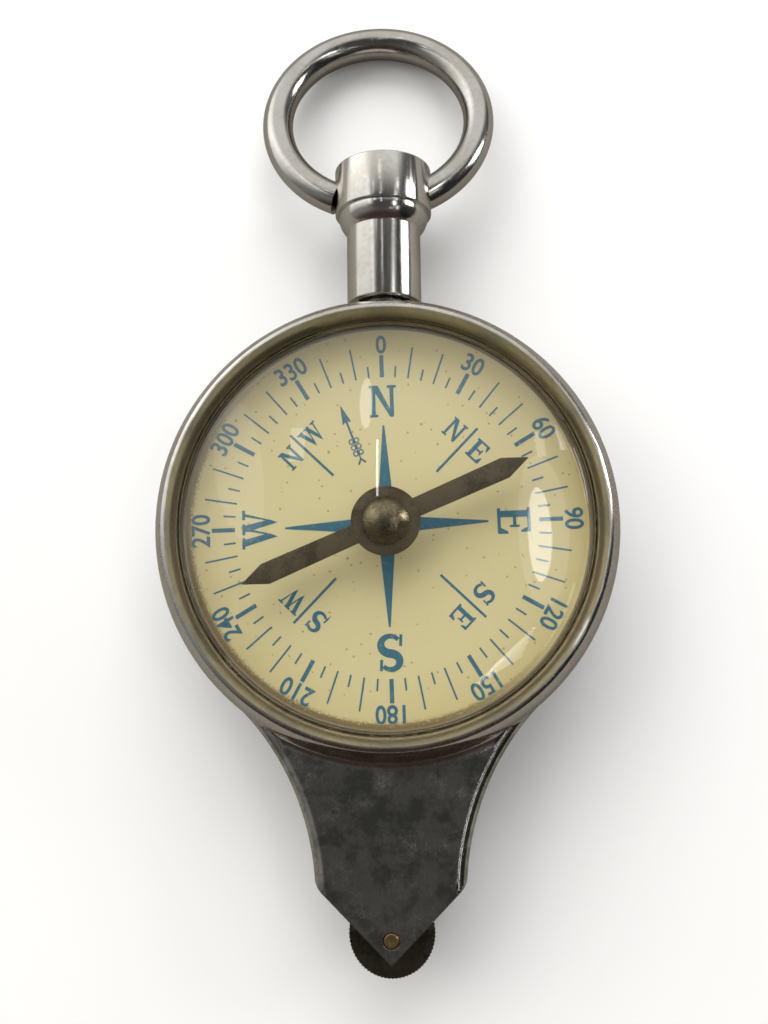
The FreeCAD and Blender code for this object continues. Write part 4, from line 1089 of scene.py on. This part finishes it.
class MEASURER_OT_compass_print(bpy.types.Operator):
    """Print the degree scale, star, letters and arrow on the compass card"""

    bl_idname = "measurer.compass_print"
    bl_label = "Compass Printing"

    def execute(self, context):
        look = settings()
        turn = look.dial_turn
        level = CARD_TOP + look.ink_height / 2
        strokes = (
            ("thirty_degree_strokes", 12, 30.0, 0.0, 14.5, 2.24, 0.4, 1),
            ("ten_degree_strokes", 36, 10.0, 0.0, 14.5, 3.15, 0.17, 3),
            ("five_degree_strokes", 36, 10.0, 5.0, 14.5, 1.15, 0.17, 1),
        )
        lay_strokes(strokes, turn, level)
        labels = [(str(degrees), math.radians(degrees)) for degrees in range(0, 360, 30)]
        print_numbers("degree_numbers", labels, 17.7, 2.5, level, turn=-turn)
        letters = letter_shapes()
        print_shapes("compass_star", star_outlines(turn), CARD_TOP)
        print_shapes("cardinal_letters", cardinal_outlines(turn, letters), CARD_TOP)
        print_shapes("quarter_letters", quarter_outlines(turn, letters), CARD_TOP)
        print_shapes("variation_arrow", variation_arrow_outlines(turn), CARD_TOP)
        return {"FINISHED"}


class MEASURER_OT_needle(bpy.types.Operator):
    """Shape the needle and its cap"""

    bl_idname = "measurer.needle"
    bl_label = "Needle"

    def execute(self, context):
        needle = merged_copy(
            "compass_needle_blade", "compass_needle", MATERIALS["needle"], 30.0, 0.05 * MM, 0.3
        )
        seat(needle, "needle", "dark_steel", "compass_needle")
        rim = NEEDLE_TOP + 0.25 * MM
        under = NEEDLE_TOP - 0.3 * MM
        cone_top = CAP_FOOT + 1.28 * MM
        body, foot, cone_mouth, cone_end = 1.2 * MM, 1.5 * MM, 0.75 * MM, 0.12 * MM
        radius = crown_radius(CAP_RADIUS, CAP_TOP - rim)
        profile = bulge((0.0, CAP_TOP), (CAP_RADIUS, rim), radius, 24)
        profile += [
            (CAP_RADIUS, NEEDLE_TOP),
            (body, NEEDLE_TOP),
            (body, under),
            (foot, under),
            (foot, CAP_FOOT),
            (cone_mouth, CAP_FOOT),
            (cone_end, cone_top),
            (0.0, cone_top),
        ]
        cap = turned("needle_cap_dome", eased(profile, 0.08 * MM), MATERIALS["cap"], steps=96)
        seat(cap, "needle", "cap_brass", "needle_cap")
        return {"FINISHED"}


class MEASURER_OT_neck(bpy.types.Operator):
    """Turn the neck with its knob"""

    bl_idname = "measurer.neck"
    bl_label = "Neck"

    def execute(self, context):
        low, high = NECK_LOW, NECK_HIGH
        shaft, recess, recess_depth = 3.73 * MM, 3.1 * MM, 0.5 * MM
        step, crown, lip, ogee = 0.35 * MM, 0.35 * MM, 0.15 * MM, 2.2 * MM
        shaft_end = low + 7.7 * MM
        knob_start = shaft_end + 1.83 * MM
        crest = (KNOB_RADIUS, high - crown)
        dome = crown_radius(KNOB_RADIUS, crown)
        profile = [
            (0.0, low + recess_depth),
            (recess, low + recess_depth),
            (recess, low),
            (shaft, low),
            (shaft, shaft_end),
        ]
        bead = bulge((KNOB_RADIUS - step, knob_start - lip), (shaft, shaft_end), ogee, 14)
        profile += list(reversed(bead))[1:]
        profile += [(KNOB_RADIUS - step, knob_start), (KNOB_RADIUS, knob_start), crest]
        profile += list(reversed(bulge((0.0, high), crest, dome, 16)))[1:]
        piece = turned(
            "neck_and_knob",
            eased(profile, 0.12 * MM),
            MATERIALS["neck"],
            axis="Y",
            centre=(0.0, 0.0, JOINT_PLANE),
            steps=160,
        )
        seat(piece, "case", "nickel_neck", "neck")
        return {"FINISHED"}


class MEASURER_OT_ring(bpy.types.Operator):
    """Bend the suspension ring from round wire"""

    bl_idname = "measurer.ring"
    bl_label = "Suspension Ring"

    def execute(self, context):
        look = settings()
        hinge = joint_place("ring_swing")
        clearance, sunk, side_play = 0.06 * MM, 0.75 * MM, 0.5 * MM
        mouth = KNOB_RADIUS + clearance
        offset = math.sqrt(look.ring_radius**2 - mouth**2)
        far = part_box("suspension_ring")[0].z + look.wire_radius
        tilt = -math.asin((hinge.z - far) / (offset + look.ring_radius))
        entry = math.asin((mouth - sunk) / look.ring_radius)
        bends, sides = 220, 40
        bm = bmesh.new()
        rings = []
        for index in range(bends + 1):
            angle = entry + (2 * math.pi - 2 * entry) * index / bends
            outward = Vector((math.sin(angle), -math.cos(angle), 0.0))
            middle = Vector((0.0, offset, 0.0)) + outward * look.ring_radius
            ring = []
            for side in range(sides):
                turn = 2 * math.pi * side / sides
                across = outward * math.cos(turn) + Vector((0.0, 0.0, 1.0)) * math.sin(turn)
                ring.append(bm.verts.new(middle + across * look.wire_radius))
            rings.append(ring)
        for first, second in zip(rings, rings[1:]):
            for side in range(sides):
                other = (side + 1) % sides
                bm.faces.new((first[side], first[other], second[other], second[side]))
        bm.faces.new(list(reversed(rings[0])))
        bm.faces.new(rings[-1])
        bmesh.ops.recalc_face_normals(bm, faces=bm.faces)
        hinge.x -= side_play
        place = Matrix.Translation(hinge) @ Matrix.Rotation(tilt, 4, "X")
        bmesh.ops.transform(bm, matrix=place, verts=bm.verts)
        piece = object_from("suspension_hoop", bm, MATERIALS["ring"], 40.0)
        seat(piece, "ring", "nickel_ring", "suspension_ring")
        return {"FINISHED"}


class MEASURER_OT_pin(bpy.types.Operator):
    """Turn the riveted pin that carries the tracing wheel"""

    bl_idname = "measurer.pin"
    bl_label = "Wheel Pin"

    def execute(self, context):
        low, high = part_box("wheel_pin")
        dish = 0.08 * MM
        dish_radius = PIN_RADIUS * 0.35
        profile = [
            (0.0, low.z + dish),
            (dish_radius, low.z),
            (PIN_RADIUS, low.z),
            (PIN_RADIUS, high.z),
            (dish_radius, high.z),
            (0.0, high.z - dish),
        ]
        centre = (PIN_CENTRE.x, PIN_CENTRE.y, 0.0)
        rounded = eased(profile, 0.1 * MM)
        pin = turned("riveted_pin", rounded, MATERIALS["pin"], centre=centre, steps=64)
        seat(pin, "case", "pin_brass", "wheel_pin")
        return {"FINISHED"}


class MEASURER_OT_measuring_print(bpy.types.Operator):
    """Print the two scales of the measuring card and shape the hand"""

    bl_idname = "measurer.measuring_print"
    bl_label = "Measuring Printing"

    def execute(self, context):
        thick = settings().ink_height
        level = REAR_CARD_FACE - thick / 2
        inch = 360.0 * 25.4 / 1000.0
        strokes = (
            ("centimetre_strokes", 100, 3.6, 90.0, 16.9, 1.0, 0.13, 10),
            ("ten_centimetre_strokes", 10, 36.0, 90.0, 16.1, 1.8, 0.3, 1),
            ("inch_strokes", 39, inch, 90.0, 10.6, 0.9, 0.13, 10),
            ("ten_inch_strokes", 4, 10 * inch, 90.0, 10.6, 1.6, 0.28, 1),
        )
        lay_strokes(strokes, 0.0, level)
        tens = [(str(number), math.radians(3.6 * number)) for number in range(0, 100, 10)]
        inches = [(str(number), math.radians(inch * number)) for number in (0, 10, 20, 30)]
        print_numbers("centimetre_numbers", tens, 14.7, 2.1, level, behind=True)
        print_numbers("inch_numbers", inches, 9.2, 1.9, level, behind=True)
        circles = []
        half_width, parts = 0.06, 120
        for radius in (17.95, 10.55):
            inner, outer = (radius - half_width) * MM, (radius + half_width) * MM
            for index in range(parts):
                first = 2 * math.pi * index / parts
                second = 2 * math.pi * (index + 1) / parts
                near, far = on_circle(inner, first), on_circle(outer, first)
                circles.append([near, far, on_circle(outer, second), on_circle(inner, second)])
        print_shapes("scale_circles", circles, REAR_CARD_FACE - thick, under=1)
        hand = merged_copy(
            "measuring_pointer", "measuring_hand", MATERIALS["blued"], 30.0, 0.04 * MM, 0.3
        )
        seat(hand, "hand", "blued_steel", "measuring_hand")
        return {"FINISHED"}


# Lamps that show as reflections: name, direction from the dial, distance, width and height in
# metres, radiance, shape, roll in degrees and colour.
PLAIN, WARM = (1.0, 1.0, 1.0), (1.0, 0.97, 0.92)
MIRRORED_LAMPS = (
    ("window", (0.48, 0.08, 0.87), 0.6, 0.05, 0.19, 3.7, "ELLIPSE", 0.0, PLAIN),
    ("window_haze", (0.49, 0.09, 0.86), 0.62, 0.11, 0.32, 0.7, "ELLIPSE", 0.0, PLAIN),
    ("window_top", (0.47, 0.37, 0.79), 0.6, 0.02, 0.05, 1.6, "RECTANGLE", 0.0, WARM),
    ("slit_low", (-0.052, 0.31, 0.95), 0.6, 0.0045, 0.12, 7.5, "RECTANGLE", 0.0, PLAIN),
    ("slit_high", (-0.085, 0.52, 0.85), 0.6, 0.026, 0.11, 2.2, "ELLIPSE", 0.0, PLAIN),
    ("neck_slit", (-0.315, 0.387, 0.866), 0.6, 0.03, 0.07, 1.5, "RECTANGLE", 0.0, PLAIN),
    ("right_slit", (0.54, 0.4, 0.745), 0.6, 0.02, 0.06, 3.0, "RECTANGLE", 0.0, WARM),
    ("left_strip", (-0.5, 0.3, 0.81), 0.6, 0.1, 0.3, 0.5, "ELLIPSE", 14.0, PLAIN),
    ("far_window", (0.9, 0.33, 0.35), 0.6, 0.2, 0.16, 7.0, "RECTANGLE", 0.0, PLAIN),
    ("low_window", (0.6, -0.25, 0.75), 0.6, 0.04, 0.2, 1.8, "ELLIPSE", 0.0, PLAIN),
)

# Lamps that only fill in light, in the same order of values.
FILL_LAMPS = (
    ("back_fill", (-0.05, 0.86, 0.52), 0.7, 0.75, 0.42, 3.9, "RECTANGLE", 0.0, PLAIN),
    ("left_fill", (-0.85, 0.3, 0.45), 0.8, 0.9, 0.5, 1.6, "RECTANGLE", 0.0, WARM),
)


def blind_lamps():
    """Five narrow slats of a blind, fanned out a little."""
    for number in range(5):
        lean = 0.02 * (number - 2)
        direction = (0.37 + 0.7 * lean, -0.33 + lean, 0.88)
        roll = -54.0 + 2.5 * number
        yield f"blind_slat_{number}", direction, 0.6, 0.0016, 0.11, 6.0, "RECTANGLE", roll, PLAIN


def panel_light(row, mirrored):
    """A soft light that faces the dial from a direction, rolled in its own plane."""
    name, direction, distance, width, height, radiance, shape, roll, colour = row
    lamp = bpy.data.lights.new(name, "AREA")
    lamp.shape = shape
    lamp.size = width
    lamp.size_y = height
    share = math.pi / 4 if shape == "ELLIPSE" else 1.0
    lamp.energy = radiance * math.pi * width * height * share
    lamp.color = colour
    holder = placed(name, lamp)
    towards = Vector(direction).normalized()
    side = Vector((0.0, 1.0, 0.0)).cross(towards).normalized()
    up = towards.cross(side)
    turn = Matrix((side, up, towards)).transposed().to_4x4()
    rolled = Matrix.Rotation(math.radians(roll), 4, "Z")
    holder.matrix_world = Matrix.Translation(towards * distance) @ turn @ rolled
    holder.visible_glossy = mirrored
    holder.visible_transmission = mirrored


def pale_table():
    """A pale table top just under the case, darker where metal mirrors it."""
    bm = bmesh.new()
    reach, bottom, top = 0.9, -0.02, -0.05 * MM
    slab(bm, [(-reach, -reach), (reach, -reach), (reach, reach), (-reach, reach)], bottom, top)
    shade = Finish("pale_table")
    place = shade.place
    pale = shade.mix(shade.noise(place, 40.0), (0.93, 0.93, 0.93), (0.96, 0.96, 0.96))
    mirrored = shade.node("ShaderNodeLightPath").outputs["Is Glossy Ray"]
    tint = shade.mix(mirrored, pale, (0.3, 0.275, 0.24))
    shade.cover(Base_Color=tint, Roughness=0.8)
    return object_from("table_top", bm, shade.material)


def room_light():
    """A dim room that is brighter on the left and behind, and reddish in front for reflections."""
    world = bpy.data.worlds.new("room")
    world.use_nodes = True
    world.node_tree.nodes.clear()
    room = Shade(world.node_tree)
    direction = room.node("ShaderNodeTexCoord").outputs["Generated"]
    parts = room.make("ShaderNodeSeparateXYZ", {0: direction})
    across, along, up = parts.outputs
    left = room.span(across, -0.3, -0.7, 0.0, 0.85)
    left = room.times(left, room.span(along, -0.25, 0.34, 0.04, 1.0))
    back = room.span(along, 0.24, 0.6, 0.0, 0.7)
    back = room.times(back, room.span(up, -0.1, 0.25))
    low = room.span(up, 0.97, 0.7, 0.0, 0.13)
    right = room.span(across, 0.45, 0.72, 1.0, 0.15)
    level = room.plus(room.plus(left, back), room.plus(low, 0.07))
    level = room.larger(room.times(level, right), 0.03)
    path = room.node("ShaderNodeLightPath").outputs
    level = room.plus(level, room.times(path["Is Diffuse Ray"], 0.2))
    front = room.span(along, -0.3, -0.75)
    front = room.times(front, room.minus(1.0, path["Is Diffuse Ray"]))
    tone = room.mix(front, (1.0, 0.985, 0.95), (0.27, 0.19, 0.15))
    lit = room.make("ShaderNodeVectorMath", {0: tone, "Scale": level}, operation="SCALE")
    glow = room.mix(path["Is Camera Ray"], lit.outputs[0], (0.9, 0.9, 0.9))
    sky = room.make("ShaderNodeBackground", {"Color": glow})
    room.link(sky.outputs[0], room.node("ShaderNodeOutputWorld").inputs[0])
    return world


# Camera: focal length and long side of the picture in pixels, turns about Z, Y and X in degrees,
# and the place of the dial's centre as the camera sees it, in millimetres.
FOCAL_PIXELS, LONG_SIDE = 1000.0, 1024.0
CAMERA_TURNS = (("Z", 0.95), ("Y", -1.72), ("X", -8.65))
DIAL_FROM_CAMERA = (0.31429, -1.54, -97.60667)


def photo_camera():
    """A camera that sees the map measurer at the viewing angle of the photograph."""
    camera = bpy.data.cameras.new("camera")
    camera.sensor_width = 36.0
    camera.clip_start = 1.0 * MM
    camera.lens = FOCAL_PIXELS * camera.sensor_width / LONG_SIDE
    holder = placed("camera", camera)
    turn = Matrix.Identity(3)
    for axis, degrees in CAMERA_TURNS:
        turn = turn @ Matrix.Rotation(math.radians(degrees), 3, axis)
    place = turn.transposed() @ -(Vector(DIAL_FROM_CAMERA) * MM) + Vector((0.0, 0.0, JOINT_PLANE))
    holder.matrix_world = Matrix.Translation(place) @ turn.transposed().to_4x4()
    return holder


class MEASURER_OT_stage(bpy.types.Operator):
    """Set the pale table, the soft room light and the camera"""

    bl_idname = "measurer.stage"
    bl_label = "Stage"

    def execute(self, context):
        table = pale_table()
        for row in (*MIRRORED_LAMPS, *blind_lamps()):
            panel_light(row, mirrored=True)
        for row in FILL_LAMPS:
            panel_light(row, mirrored=False)
        context.scene.world = room_light()
        context.scene.view_settings.view_transform = "Standard"
        context.scene.camera = photo_camera()
        return {"FINISHED"}


BUILD_ORDER = (
    MEASURER_OT_materials,
    MEASURER_OT_case,
    MEASURER_OT_crystals,
    MEASURER_OT_compass_print,
    MEASURER_OT_needle,
    MEASURER_OT_neck,
    MEASURER_OT_ring,
    MEASURER_OT_pin,
    MEASURER_OT_measuring_print,
    MEASURER_OT_stage,
)


class MEASURER_PT_panel(bpy.types.Panel):
    """Lists the settings and the steps that build the map measurer"""

    bl_label = "Map Measurer"
    bl_idname = "MEASURER_PT_panel"
    bl_space_type = "VIEW_3D"
    bl_region_type = "UI"
    bl_category = "Map Measurer"

    def draw(self, context):
        look = context.scene.map_measurer
        for name in look.__annotations__:
            self.layout.prop(look, name)
        for operator in BUILD_ORDER:
            self.layout.operator(operator.bl_idname)


CLASSES = (MeasurerSettings, *BUILD_ORDER, MEASURER_PT_panel)


def register():
    for cls in CLASSES:
        bpy.utils.register_class(cls)
    bpy.types.Scene.map_measurer = bpy.props.PointerProperty(type=MeasurerSettings)


def unregister():
    del bpy.types.Scene.map_measurer
    for cls in reversed(CLASSES):
        bpy.utils.unregister_class(cls)


def main():
    register()
    for operator in BUILD_ORDER:
        family, action = operator.bl_idname.split(".")
        getattr(getattr(bpy.ops, family), action)()


if __name__ == "__main__":
    main()
